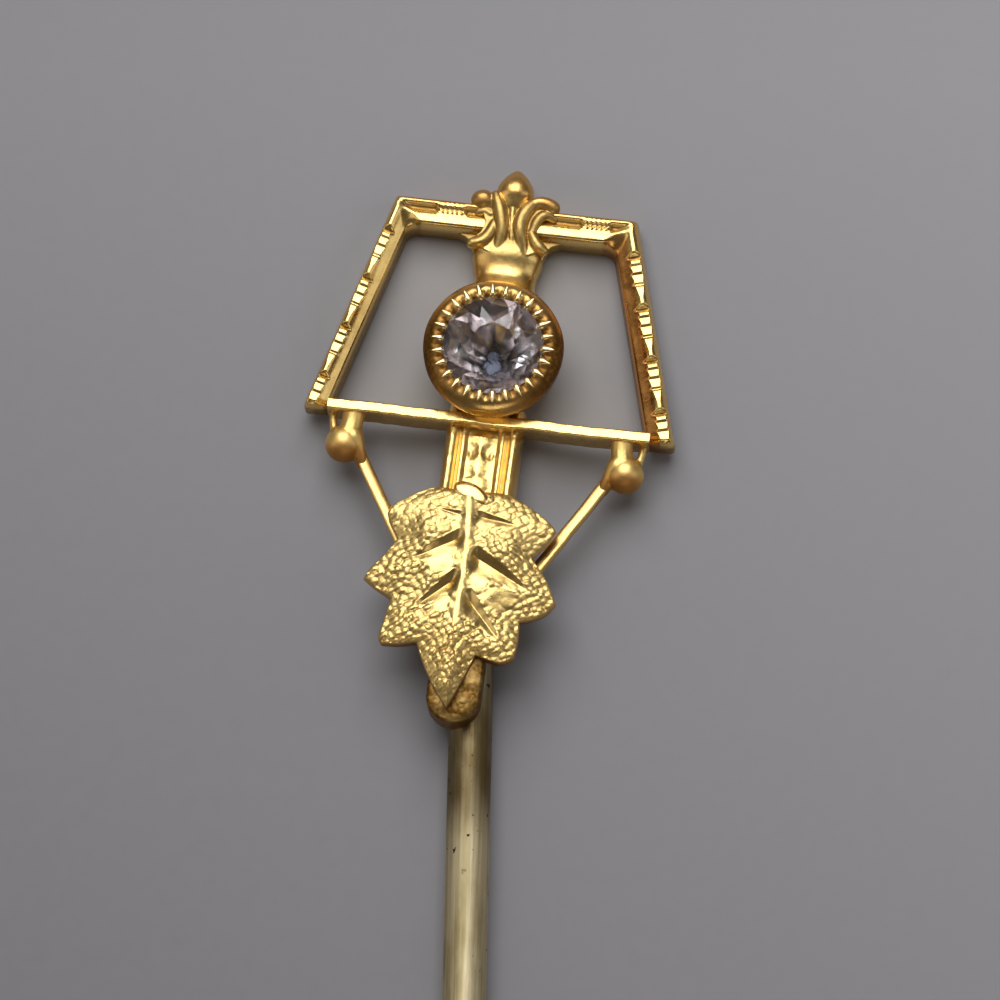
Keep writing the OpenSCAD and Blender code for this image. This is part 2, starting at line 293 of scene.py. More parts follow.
def strand(rows: Table, sides: int = 16, caps: int = 5) -> Shape:
    """Sweeps a round strand with round ends through rows of x, y, z and radius.

    Args:
        rows: the points that the strand passes through.
        sides: points round the section.
        caps: rings in each round end.

    Returns:
        A closed shape.
    """
    path = resampled(rounded_off(rows, 3), axes=3)
    ahead = np.gradient(path[:, :3], axis=0)
    ahead /= np.linalg.norm(ahead, axis=1)[:, None]
    across = np.cross(ahead, [0, 0, 1.0])
    across /= np.maximum(np.linalg.norm(across, axis=1)[:, None], 1e-9)
    up = np.cross(across, ahead)
    last = len(path) - 1
    turn = np.linspace(0, math.pi / 2, caps + 1)[:-1]
    # each ring is its station, its shift ahead as a share of the radius, and its size
    rings = [(0, -math.cos(a), max(math.sin(a), 0.05)) for a in turn]
    rings += [(i, 0.0, 1.0) for i in range(last + 1)]
    rings += [(last, math.cos(a), max(math.sin(a), 0.05)) for a in turn[::-1]]
    cos, sin = np.cos(circle(sides))[:, None], np.sin(circle(sides))[:, None]
    return lofted(np.stack([
        path[i, :3] + ahead[i] * path[i, 3] * shift + path[i, 3] * size * (cos * across[i] + sin * up[i])
        for i, shift, size in rings
    ]))


def block(half_outline: Table, low: float, high: float) -> Shape:
    """Raises an outline, given by its right half from the bottom up, between two heights."""
    outline = np.array([*half_outline, *((-x, y) for x, y in reversed(half_outline))])
    return lofted(np.stack([np.insert(outline, 2, z, axis=1) for z in (low, high)]))


class Bench:
    """Turns shapes into finished objects in their place on the pin."""

    def __init__(self, seat: HeadSeat) -> None:
        """Keeps the head's place."""
        self.place = seat.matrix()
        self.made: list[bpy.types.Object] = []

    @staticmethod
    def raw_object(name: str, shape: Shape) -> bpy.types.Object:
        """Makes a linked object from a shape, still in the shape's own millimetres."""
        mesh = bpy.data.meshes.new(name)
        mesh.from_pydata(shape.points.tolist(), [], shape.faces)
        return linked(name, mesh)

    @staticmethod
    def applied(obj: bpy.types.Object) -> Shape:
        """Applies an object's modifiers, and removes the object.

        Args:
            obj: the object, still in millimetres.

        Returns:
            Its shape with the modifiers applied, without marks.
        """
        graph = bpy.context.evaluated_depsgraph_get()
        mesh = bpy.data.meshes.new_from_object(obj.evaluated_get(graph), depsgraph=graph)
        bpy.data.objects.remove(obj)
        points = np.zeros(len(mesh.vertices) * 3)
        mesh.vertices.foreach_get("co", points)
        faces = [list(p.vertices) for p in mesh.polygons]
        bpy.data.meshes.remove(mesh)
        return Shape(points.reshape(-1, 3), faces)

    def fused(self, shapes: list[Shape], voxel: float, smooth: int) -> Shape:
        """Melts overlapping closed shells into one cast skin.

        Args:
            shapes: the shells.
            voxel: size of the remesh's cells, in millimetres.
            smooth: rounds of smoothing.

        Returns:
            The skin, without marks.
        """
        starts = np.cumsum([0] + [len(s.points) for s in shapes]).tolist()
        faces = [[i + start for i in face] for s, start in zip(shapes, starts) for face in s.faces]
        obj = self.raw_object("melt", Shape(np.vstack([s.points for s in shapes]), faces))
        melt = obj.modifiers.new("melt", "REMESH")
        melt.mode = "VOXEL"
        melt.voxel_size = voxel
        calm = obj.modifiers.new("calm", "SMOOTH")
        calm.factor = 0.5
        calm.iterations = smooth
        return self.applied(obj)

    @staticmethod
    def mark_hollows(mesh: bpy.types.Mesh, points: Array, rounds: int = 14) -> None:
        """Writes how far each vertex lies in a hollow, as the attribute "hollow".

        Args:
            mesh: the mesh, with its points in any unit.
            points: the same points in millimetres.
            rounds: how far the hollow is measured, in rounds of smoothing.
        """
        edges = np.zeros(len(mesh.edges) * 2, int)
        mesh.edges.foreach_get("vertices", edges)
        a, b = edges.reshape(-1, 2).T
        n = len(points)
        count = np.maximum(np.bincount(np.concatenate([a, b]), minlength=n), 1)[:, None]
        calm = points.copy()
        for _ in range(rounds):
            total = [np.bincount(a, calm[b, k], n) + np.bincount(b, calm[a, k], n) for k in range(3)]
            calm = 0.4 * calm + 0.6 * np.stack(total, 1) / count
        normals = np.zeros(n * 3)
        mesh.vertices.foreach_get("normal", normals)
        depth = ((calm - points) * normals.reshape(-1, 3)).sum(1)
        mesh.attributes.new("hollow", "FLOAT", "POINT").data.foreach_set("value", depth.astype(np.float32))

    def set_out(
        self,
        name: str,
        shape: Shape,
        *materials: Material,
        sharp: float = 60.0,
        node: Node = Node.HEAD,
        slot: Slot = Slot.GOLD,
    ) -> bpy.types.Object:
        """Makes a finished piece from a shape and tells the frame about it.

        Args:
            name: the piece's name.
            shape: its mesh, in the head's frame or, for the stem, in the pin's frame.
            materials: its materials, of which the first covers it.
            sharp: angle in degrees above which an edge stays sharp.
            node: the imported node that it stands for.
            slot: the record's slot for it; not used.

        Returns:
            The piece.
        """
        obj = self.raw_object(name, shape)
        mesh = obj.data
        for key, values in shape.marks.items():
            mesh.attributes.new(key, "FLOAT", "POINT").data.foreach_set("value", values.astype(np.float32))
        work = bmesh.new()
        work.from_mesh(mesh)
        bmesh.ops.recalc_face_normals(work, faces=work.faces)
        work.to_mesh(mesh)
        work.free()
        self.mark_hollows(mesh, shape.points)
        mesh.transform(Matrix.Scale(MM, 4) if node is Node.STEM else self.place)
        mesh.shade_smooth()
        mesh.set_sharp_from_angle(angle=math.radians(sharp))
        for material in materials:
            mesh.materials.append(material)
        mesh.update()
        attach(obj, BODY)
        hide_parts(node.value)
        self.made.append(obj)
        log.info("%s: %d faces", obj.name, len(mesh.polygons))
        return obj


class ShadeTree:
    """A material's node tree, with short calls for the nodes that the finishes use."""

    def __init__(self, name: str) -> None:
        """Makes an empty material with one Principled shader."""
        self.material = bpy.data.materials.new(name)
        self.material.use_nodes = True
        self.tree = self.material.node_tree
        self.shader = self.tree.nodes["Principled BSDF"]
        self.object_place = self.add("ShaderNodeTexCoord").outputs["Object"]

    def fill(self, node: bpy.types.Node, values: dict[str, object]) -> bpy.types.Node:
        """Sets a node's inputs, by name with spaces as underscores, and gives the node."""
        for key, value in values.items():
            self.feed(node.inputs[key.replace("_", " ")], value)
        return node

    def add(self, kind: str, **values: object) -> bpy.types.Node:
        """Adds a node and sets its inputs."""
        return self.fill(self.tree.nodes.new(kind), values)

    def feed(self, socket: Socket, value: object) -> None:
        """Links an output to a socket, or sets the socket's value."""
        if isinstance(value, Socket):
            self.tree.links.new(value, socket)
        else:
            socket.default_value = value

    def coat(self, **values: object) -> Material:
        """Sets the shader's inputs and gives the material."""
        self.fill(self.shader, values)
        return self.material

    def mark(self, name: str) -> Socket:
        """Gives the value of a mesh attribute."""
        node = self.tree.nodes.new("ShaderNodeAttribute")
        node.attribute_name = name
        return node.outputs["Fac"]

    def math(self, kind: str, a: object, b: object) -> Socket:
        """Gives the result of a two-input math node, kept from 0 to 1."""
        node = self.tree.nodes.new("ShaderNodeMath")
        node.operation = kind
        node.use_clamp = True
        self.feed(node.inputs[0], a)
        self.feed(node.inputs[1], b)
        return node.outputs[0]

    def spread(
        self, value: object, low: float, high: float, to_low: float = 0.0, to_high: float = 1.0
    ) -> Socket:
        """Maps a value's range to another range, clamped."""
        ranges = {"From_Min": low, "From_Max": high, "To_Min": to_low, "To_Max": to_high}
        return self.add("ShaderNodeMapRange", Value=value, **ranges).outputs["Result"]

    def noise(self, size_mm: float, detail: float = 3.0, stretch: Triple = (1, 1, 1)) -> Socket:
        """Gives noise whose features are about size_mm wide, on object coordinates."""
        place = self.add("ShaderNodeMapping", Vector=self.object_place, Scale=stretch).outputs[0]
        scale = 1 / (size_mm * MM)
        return self.add("ShaderNodeTexNoise", Vector=place, Scale=scale, Detail=detail).outputs["Fac"]

    def mix(self, share: object, a: object, b: object) -> Socket:
        """Mixes two colours."""
        node = self.tree.nodes.new("ShaderNodeMix")
        node.data_type = "RGBA"
        for socket, value in zip((0, 6, 7), (share, a, b)):
            self.feed(node.inputs[socket], value)
        return node.outputs[2]

    def bump(self, height: object, depth_mm: float, under: object = None) -> Socket:
        """Gives a normal bumped by a height from 0 to 1 that is depth_mm deep."""
        node = self.add("ShaderNodeBump", Height=height, Strength=1.0, Distance=depth_mm * MM)
        if under is not None:
            self.feed(node.inputs["Normal"], under)
        return node.outputs["Normal"]


@dataclass(frozen=True)
class GoldFinish:
    """Polished or frosted yellow gold, darker in its hollows, with a reddish tint and painted shade where
    the marks ask for them.

    Attributes:
        name: the material's name.
        polish: lowest and highest roughness.
        gold: colour of the clean metal.
        copper: colour where the attribute "copper" is 1, partly the metal's own reddish tone and partly
            painted shade.
        grime: colour of painted shade, and at the bottom of a hollow.
        hollow_mm: depth of a hollow that is fully darkened.
        grain_mm: size of the fine texture.
        grain_depth_mm: its depth.
        frost_depth_mm: depth of the fine texture where the attribute "frost" is 1.
        matte: roughness added there.
        darkened_matte: roughness added where the gold is darkened, in hollows and under painted shade.
    """

    name: str
    polish: tuple[float, float]
    gold: Colour = (0.88, 0.62, 0.22, 1)
    copper: Colour = (0.72, 0.33, 0.09, 1)
    grime: Colour = (0.13, 0.06, 0.01, 1)
    hollow_mm: float = 0.035
    grain_mm: float = 0.09
    grain_depth_mm: float = 0.004
    frost_depth_mm: float = 0.0
    matte: float = 0.0
    darkened_matte: float = 0.22

    def material(self) -> Material:
        """Builds the material.

        Returns:
            The material, which reads the marks copper, hollow, grime and frost.
        """
        s = ShadeTree(self.name)
        fine = s.noise(self.grain_mm, 4)
        # painted shade: the mark copper turns the gold redder and darker where shade and dark reflections
        # fall; the noise adds random reddish patches of the metal's own tone
        copper = s.math("ADD", s.mark("copper"), s.spread(s.noise(0.9, 4), 0.48, 0.75, 0, 0.12))
        # darker in hollows, by their depth, and painted shade wherever the mark grime is set
        hollow = s.math("ADD", s.spread(s.mark("hollow"), 0.004, self.hollow_mm), s.mark("grime"))
        shade_brown = s.math("MULTIPLY", hollow, s.spread(fine, 0.2, 0.6, 0.7))
        rough = s.spread(s.noise(0.3, 5), 0.3, 0.7, *self.polish)
        rough = s.math("ADD", rough, s.math("MULTIPLY", s.mark("frost_and_dark_centre"), self.matte))
        normal = s.bump(fine, self.grain_depth_mm)
        if self.frost_depth_mm:
            frost_and_dark_centre = s.math("MULTIPLY", s.noise(0.05, 2), s.mark("frost_and_dark_centre"))
            normal = s.bump(frost_and_dark_centre, self.frost_depth_mm, normal)
        return s.coat(
            Base_Color=s.mix(shade_brown, s.mix(copper, self.gold, self.copper), self.grime),
            Metallic=1.0,
            Roughness=s.math("ADD", rough, s.math("MULTIPLY", shade_brown, self.darkened_matte)),
            Normal=normal,
        )


@dataclass(frozen=True)
class StemFinish:
    """Worn silvery gilt wire with long draw lines, a few dark specks and a painted shadow of the head near
    its top.
    """

    name: str = "worn_gilt"
    pale: Colour = (0.68, 0.58, 0.37, 1)
    dull: Colour = (0.34, 0.27, 0.13, 1)
    shade_brown: Colour = (0.12, 0.08, 0.03, 1)
    speck: Colour = (0.03, 0.022, 0.015, 1)

    def material(self) -> Material:
        """Builds the material.

        Returns:
            The material, which reads the mark tarnish.
        """
        s = ShadeTree(self.name)
        lines = s.noise(0.12, 5, (1, 0.03, 1))
        blotch = s.noise(0.7, 5, (1, 0.35, 1))
        dull = s.math("ADD", s.spread(lines, 0.42, 0.62, 0, 0.6), s.spread(blotch, 0.45, 0.65, 0, 0.55))
        specks = s.spread(s.noise(0.16, 1), 0.7, 0.74)
        dark = s.math("MULTIPLY", specks, s.spread(s.noise(1.6, 2), 0.45, 0.6))
        worn = s.mix(dull, self.pale, self.dull)
        # painted shadow: the wire turns darker near the head, where the head's shadow falls, in blotches
        shadow_share = s.math("MULTIPLY", s.mark("tarnish"), s.spread(blotch, 0.3, 0.7, 0.6))
        return s.coat(
            Base_Color=s.mix(dark, s.mix(shadow_share, worn, self.shade_brown), self.speck),
            Metallic=1.0,
            Roughness=s.spread(lines, 0.3, 0.7, 0.36, 0.56),
            Normal=s.bump(lines, 0.012, s.bump(blotch, 0.01)),
        )


@dataclass(frozen=True)
class StoneFinish:
    """Clear cut glass, cool and warm by turns."""

    name: str = "clear_stone"
    cool: Colour = (0.86, 0.91, 1, 1)
    warm: Colour = (1, 0.95, 0.94, 1)
    bend: float = 1.7

    def material(self) -> Material:
        """Builds the material."""
        s = ShadeTree(self.name)
        haze = s.noise(0.5, 3)
        rough = s.spread(haze, 0.3, 0.7, 0.01, 0.04)
        colour = s.mix(haze, self.cool, self.warm)
        return s.coat(Base_Color=colour, Transmission_Weight=1.0, IOR=self.bend, Roughness=rough)


@dataclass(frozen=True)
class FoilFinish:
    """Silvery backing on the stone's lower facets, darkened by painted shade below, with a painted dark
    reflection in the middle.
    """

    name: str = "stone_backing"
    cool: Colour = (0.96, 0.98, 1, 1)
    warm: Colour = (0.97, 0.91, 0.9, 1)
    shade_brown: Colour = (0.55, 0.45, 0.45, 1)
    painted_dark_centre: Colour = (0.06, 0.068, 0.09, 1)
    blur: float = 0.12

    def material(self) -> Material:
        """Builds the material.

        Returns:
            The material, which reads the marks grime and frost.
        """
        s = ShadeTree(self.name)
        haze = s.noise(0.4, 3)
        # painted light: the mark grime darkens the backing towards the stone's bottom, and the mark frost
        # paints a dark blue reflection in its middle
        foil = s.mix(s.mark("grime"), s.mix(s.spread(haze, 0.4, 0.6), self.cool, self.warm), self.shade_brown)
        blur = s.math("MULTIPLY", s.math("ADD", s.mark("grime"), s.mark("frost_and_dark_centre")), self.blur)
        return s.coat(
            Base_Color=s.mix(s.mark("frost_and_dark_centre"), foil, self.painted_dark_centre),
            Metallic=0.9,
            Roughness=s.math("ADD", blur, s.spread(haze, 0.3, 0.7, 0.1, 0.18)),
        )


@dataclass
class FrameBars:
    """The frame's three moulded bars, with groups of bright cuts on the side bars.

    The sections run from the outer edge inwards, as shares of a bar's width and thickness.

    Attributes:
        cut_steps: where each cut of a group begins, down the bar.
        bead: depth of a bead between two cuts at its upper and its lower end.
        last_bead: the same for the last one, which runs out.
        pillow: how far a bead's ends are deeper still.
        cut_line: depth of the line between two beads, and how steeply it rises.
        first_line: the same for a group's first line.
        panels: x of the top bar's two hatched panels.
        panel_rise: their height, and that of their hatching.
        foot_round: length over which a side bar's foot is rounded.
        foot_shares: height and width that are left at its very end.
        uneven: how far the polished faces are off true.
    """

    top_half: float = 2.86
    bottom_half: float = 4.36
    top_y: float = 3.7
    bottom_y: float = 1.68
    shift: float = 0.08
    bar_w: float = 0.76
    left_w: float = 0.58
    right_w: float = 0.68
    bar_t: float = 0.8
    outer_fillet: float = 0.07
    inner_fillet: float = 0.32
    first_group: float = 0.92
    group_step: float = 1.28
    groups: int = 4
    cut_steps: tuple[float, ...] = (0.0, 0.2, 0.42, 0.68)
    run_out: float = 0.4
    bead: Pair = (0.085, 0.04)
    last_bead: Pair = (0.05, -0.01)
    pillow: float = 0.01
    cut_line: Pair = (0.115, 2.5)
    first_line: Pair = (0.15, 1.5)
    panels: Pair = (-1.42, 1.98)
    panel_rise: Pair = (0.05, 0.03)
    hatch_step: float = 0.11
    foot_round: float = 0.14
    foot_shares: Pair = (0.6, 0.62)
    uneven: float = 0.006
    blend: int = 14
    side_stations: int = 440
    arc_stations: int = 16
    top_stations: int = 240
    section_points: int = 54
    side_section: Table = (
        (0, 0), (0, 0.45), (0.03, 0.66), (0.1, 0.84), (0.17, 0.94), (0.26, 0.99), (0.34, 1.0),
        (0.43, 0.98), (0.52, 0.91), (0.62, 0.84), (0.76, 0.78), (0.84, 0.76), (0.91, 0.71), (0.97, 0.5),
        (1, 0.2), (1, 0),
    )
    top_section: Table = (
        (0, 0), (0, 0.5), (0.03, 0.75), (0.1, 0.93), (0.18, 0.98), (0.25, 0.95), (0.31, 0.85),
        (0.38, 0.82), (0.45, 0.87), (0.51, 0.92), (0.58, 0.95), (0.7, 0.975), (0.81, 0.99),
        (0.89, 0.97), (0.95, 0.86), (0.985, 0.66), (1, 0.4), (1, 0),
    )

    @property
    def slope(self) -> float:
        """The side bars' lean from upright, in radians."""
        return math.atan2(self.bottom_half - self.top_half, self.top_y + self.bottom_y)

    def section(self, rows: Table) -> Array:
        """Gives the rounded section's points, as shares of the bar's width and thickness."""
        size = np.array([self.bar_w, self.bar_t])
        return resampled(rounded_off(np.array(rows) * size, 2), self.section_points) / size

    def line(self, share: float) -> Array:
        """Runs a line up the left bar, over the top and down the right, with round corners.

        Args:
            share: its distance inside the frame's outer edge, as a share of the bars' widths.

        Returns:
            One row of x and y for each station.
        """
        turn = math.pi / 2 - self.slope
        radius = self.outer_fillet + (self.inner_fillet - self.outer_fillet) * share
        back = radius * math.tan(turn / 2)
        phi = np.linspace(0, turn, self.arc_stations + 2)[1:-1, None]
        drop = share * self.bar_w
        tops, sides = [], []
        for width in (self.left_w, self.right_w):
            reach = share * width / math.cos(self.slope)
            foot = np.array([self.bottom_half - reach, -self.bottom_y])
            corner = np.array([self.top_half - reach + drop * math.tan(self.slope), self.top_y - drop])
            down = (foot - corner) / np.linalg.norm(foot - corner)
            start, first = corner - [back, 0], corner + down * back
            arc = start + radius * (np.sin(phi) * [1, 0] + (1 - np.cos(phi)) * [0, -1])
            tops.append(np.linspace(0, 1, self.top_stations)[:, None] * start * [1, 0] + [0, start[1]])
            run = np.linspace(0, 1, self.side_stations)[:, None] * (foot - first)
            sides.append(np.vstack([arc, first + run]))
        left, top = sides[0][::-1] * [-1, 1], tops[0][::-1] * [-1, 1]
        return np.vstack([left, top, tops[1][1:], sides[1]]) + [self.shift, 0]

    def cutter(self, along: Array) -> Array:
        """Gives how far below the crest the bright cuts lie, down a side bar.

        Args:
            along: distance down the bar from its top corner.

        Returns:
            The depth of the flat cut, or less than 0 where the bar isn't cut.
        """
        depth = np.full(along.shape, -1.0)
        for group in range(self.groups):
            starts = [self.first_group + group * self.group_step + step for step in self.cut_steps]
            for k, start in enumerate(starts):
                last = k == len(starts) - 1
                f = (along - start) / (self.run_out if last else starts[k + 1] - start)
                low, high = self.last_bead if last else self.bead
                cut = low + (high - low) * np.clip(f, 0, 1) + (not last) * self.pillow * (2 * f - 1) ** 2
                deep, fall = self.cut_line if k else self.first_line
                line = deep - np.abs(along - start) * fall
                depth = np.maximum(depth, np.maximum(np.where((f >= 0) & (f < 1), cut, -1.0), line))
        return depth

    def patch(self, x: Array, share: Array) -> Array:
        """Gives the rise of the two small hatched panels in the top bar's groove."""
        slant, wave = 0.7 * share, TURN / self.hatch_step
        hatch = 0.5 + 0.25 * np.sin((x + slant) * wave) + 0.25 * np.sin((x - slant) * wave)
        mask = sum(smoothstep(0.4, 0.26, np.abs(x - middle)) for middle in self.panels)
        rise, ridges = self.panel_rise
        return mask * between(share, 0.2, 0.3, 0.46, 0.54) * (rise + ridges * hatch)

    def copper(self, x: Array, y: Array, share: Array, top: Array) -> Array:
        """Gives how much of the redder, darker colour shows across the bars: painted shade on the right
        side bar's inner band, and in random patches on the outer slopes and the top bar's upper edge.
        """
        patch = 0.5 + 0.5 * soft_noise(x * 1.3, y * 1.3, 5)
        outer = 1 - smoothstep(0.1, 0.3, share)
        inner = smoothstep(0.46, 0.58, share)
        on_side = inner * np.where(x > 0, 0.95, 0.05 * patch) + 0.3 * outer * patch
        return np.clip(on_side * (1 - top) + top * (0.85 * outer * patch + 0.06), 0, 1)

    def build(self, bench: Bench, gold: Material) -> None:
        """Makes the frame as one piece.

        Args:
            bench: where it is set out.
            gold: its material.
        """
        sections = (self.section(rows).T for rows in (self.side_section, self.top_section))
        middle = 2 * self.top_stations - 1
        count = 2 * (self.arc_stations + self.side_stations) + middle
        station = np.abs(np.arange(count) - (count - 1) / 2)
        top = smoothstep(middle / 2 + self.arc_stations, middle / 2 - self.blend, station)[:, None]
        share, height = ((1 - top) * side + top * over for side, over in zip(*sections))
        height = height * self.bar_t
        fine = np.linspace(0, 1, 60)
        lines = np.stack([self.line(f) for f in fine])
        x, y = (
            np.stack([np.interp(share[k], fine, lines[:, k, axis]) for k in range(count)])
            for axis in (0, 1)
        )
        away = np.abs(x - self.shift)
        along = (away - self.top_half) * math.sin(self.slope) + (self.top_y - y) * math.cos(self.slope)
        depth = self.cutter(along)
        cut = (top < 0.01) & (depth > 0)
        height = np.where(cut, np.minimum(height, self.bar_t - depth), height)
        for _ in range(8):
            height[1:-1] = (height[:-2] + 2 * height[1:-1] + height[2:]) / 4
        height = height + top * self.patch(x, share)
        height = height + (height > 0.3) * self.uneven * soft_noise(x * 2.5, y * 2.5, 6)
        # the side bars' feet are rounded off
        ends = np.clip((y + self.bottom_y) / self.foot_round, 0, 1)
        pinch = np.sqrt(np.clip(1 - (1 - ends) ** 2, 0, 1))
        low, thin = self.foot_shares
        height = height * (low + (1 - low) * pinch)
        middle_x = (x[:, :1] + x[:, -1:]) / 2
        x = middle_x + (x - middle_x) * (thin + (1 - thin) * pinch)
        # painted shade: the low walls darker, more on the side bars, and the lines between the bright cuts
        # darker
        walls = smoothstep(0.55, 0.35, height) * (0.75 - 0.3 * top)
        gaps = (1 - top) * smoothstep(0.09, 0.14, depth) * between(share, 0.1, 0.2, 0.5, 0.6)
        copper = self.copper(x, y, share, top)
        shape = lofted(np.stack([x, y, height], -1), copper=copper, grime=np.maximum(walls, gaps))
        bench.set_out("head_frame", shape, gold, sharp=70)


@dataclass
class Lily:
    """The fleur-de-lis over the top bar, cast in one with the neck under it.

    Attributes:
        bud: the bud's radius at each y, from its tip down.
        strands: x, y, z and radius along each strand, the left ones, the right ones and the middle one.
        plate: the right half of the plate behind them, as x and y.
        plate_z: its back and its front.
        neck_rows: the raised neck's y, half width and height.
        neck_side: the right half of the flat web behind the neck, as x and y.
        web_z: its back and its front.
        swellings: centre and half sizes of the left curl's knob and of the bud's shoulder.
    """

    voxel: float = 0.016
    smooth: int = 9
    plate_z: Pair = (0.05, 0.79)
    web_z: Pair = (0.0, 0.5)
    swellings: tuple[tuple[Triple, Triple], ...] = (
        ((-0.72, 3.76, 0.68), (0.29, 0.25, 0.25)),
        ((-0.03, 3.86, 0.55), (0.42, 0.3, 0.34)),
    )
    bud_z: float = 0.58
    bud: Table = (
        (0, 4.6), (0.08, 4.58), (0.2, 4.48), (0.33, 4.33), (0.42, 4.17), (0.45, 4.03), (0.43, 3.92),
        (0.36, 3.8), (0.3, 3.65), (0.2, 3.5), (0, 3.4),
    )
    strands: tuple[Table, ...] = (
        (
            (-0.43, 3.88, 0.78, 0.12), (-0.37, 3.72, 0.82, 0.15), (-0.3, 3.55, 0.83, 0.16),
            (-0.23, 3.31, 0.83, 0.16), (-0.18, 3.05, 0.82, 0.15), (-0.2, 2.8, 0.77, 0.13),
            (-0.28, 2.4, 0.66, 0.1),
        ),
        ((-0.74, 3.76, 0.72, 0.16), (-0.6, 3.74, 0.72, 0.15), (-0.45, 3.6, 0.7, 0.12)),
        (
            (-0.38, 3.2, 0.76, 0.11), (-0.47, 2.9, 0.79, 0.13), (-0.64, 2.7, 0.79, 0.14),
            (-0.84, 2.66, 0.74, 0.14),
        ),
        ((-0.5, 3.42, 0.72, 0.1), (-0.62, 3.5, 0.72, 0.1), (-0.78, 3.46, 0.68, 0.1)),
        (
            (0.46, 3.75, 0.8, 0.13), (0.34, 3.6, 0.82, 0.16), (0.25, 3.42, 0.83, 0.165),
            (0.21, 3.2, 0.83, 0.165), (0.24, 3.0, 0.82, 0.155), (0.32, 2.78, 0.77, 0.13),
            (0.4, 2.4, 0.66, 0.1),
        ),
        (
            (0.42, 3.72, 0.78, 0.14), (0.6, 3.82, 0.78, 0.15), (0.78, 3.8, 0.75, 0.17),
            (0.92, 3.74, 0.71, 0.18),
        ),
        (
            (0.54, 3.14, 0.74, 0.11), (0.59, 3.34, 0.76, 0.12), (0.7, 3.5, 0.76, 0.125),
            (0.84, 3.55, 0.72, 0.12), (0.98, 3.48, 0.67, 0.1),
        ),
        (
            (0.5, 3.05, 0.75, 0.11), (0.6, 2.86, 0.78, 0.13), (0.72, 2.72, 0.78, 0.14),
            (0.82, 2.66, 0.74, 0.13),
        ),
        (
            (0.0, 3.6, 0.76, 0.08), (0.02, 3.1, 0.79, 0.07), (0.08, 2.7, 0.75, 0.06),
            (0.1, 2.45, 0.68, 0.06),
        ),
    )
    plate: Table = (
        (0.5, 2.5), (0.7, 2.6), (0.9, 2.72), (0.68, 2.96), (0.6, 3.2), (0.72, 3.5), (0.84, 3.7),
        (0.5, 3.84), (0.2, 3.82),
    )
    neck_rows: Table = (
        (3.0, 0.4, 0.7), (2.85, 0.66, 0.8), (2.65, 0.82, 0.85), (2.45, 0.84, 0.83), (2.3, 0.8, 0.78),
        (2.15, 0.75, 0.75), (2.0, 0.72, 0.76), (1.85, 0.72, 0.83), (1.7, 0.75, 0.94), (1.55, 0.8, 1.04),
        (1.2, 0.8, 1.05),
    )
    neck_side: Table = (
        (1.3, 3.0), (1.16, 2.92), (1.0, 2.85), (0.9, 2.74), (0.84, 2.58), (0.78, 2.4), (0.72, 2.2),
        (0.69, 2.0), (0.7, 1.2),
    )

    def bud_shape(self) -> Shape:
        """Turns the bud about the head's middle line."""
        rows = resampled(rounded_off(self.bud, 2), 24)[1:-1]
        cos, sin = np.cos(circle(32)), np.sin(circle(32))
        rings = [np.stack([r * cos, 0 * cos + y, self.bud_z + 0.9 * r * sin], 1) for r, y in rows]
        return lofted(np.stack(rings))

    def neck_shape(self) -> Shape:
        """Lofts the neck's raised saddle, from the lily down to the bezel."""
        a = np.linspace(0, math.pi, 40)
        u, v = np.sign(np.cos(a)) * np.abs(np.cos(a)) ** 0.9, np.abs(np.sin(a)) ** 0.45
        rows = resampled(rounded_off(self.neck_rows, 2), 40)
        return lofted(np.stack([np.stack([w * u, np.full(40, y), h * v], 1) for y, w, h in rows]))

    def build(self, bench: Bench, gold: Material) -> None:
        """Makes the lily with its neck as one cast piece.

        Args:
            bench: where it is set out.
            gold: its material.
        """
        shapes = [block(self.plate, *self.plate_z), block(self.neck_side, *self.web_z)]
        shapes += [ball(*swelling) for swelling in self.swellings]
        shapes += [self.bud_shape(), self.neck_shape(), *(strand(rows) for rows in self.strands)]
        shape = bench.fused(shapes, self.voxel, self.smooth)
        x, y = shape.points[:, 0], shape.points[:, 1]
        # painted shade on the neck's left side and over the strands in the lily's middle; a reddish tone on
        # the bud's tip and on the curls
        curls = hill(x, 0.8, 0.25) * hill(y, 3.8, 0.16) + hill(x, -0.74, 0.22) * hill(y, 3.76, 0.2)
        collar = hill(y, 2.15, 0.25) * smoothstep(0.1, -0.4, x)
        shape.marks["copper"] = np.clip(0.5 * smoothstep(3.75, 4.0, y) + 0.7 * curls + 0.5 * collar, 0, 1)
        shape.marks["grime"] = 0.5 * between(y, 2.5, 2.8, 3.7, 3.9)
        bench.set_out("head_lily", shape, gold, sharp=180)


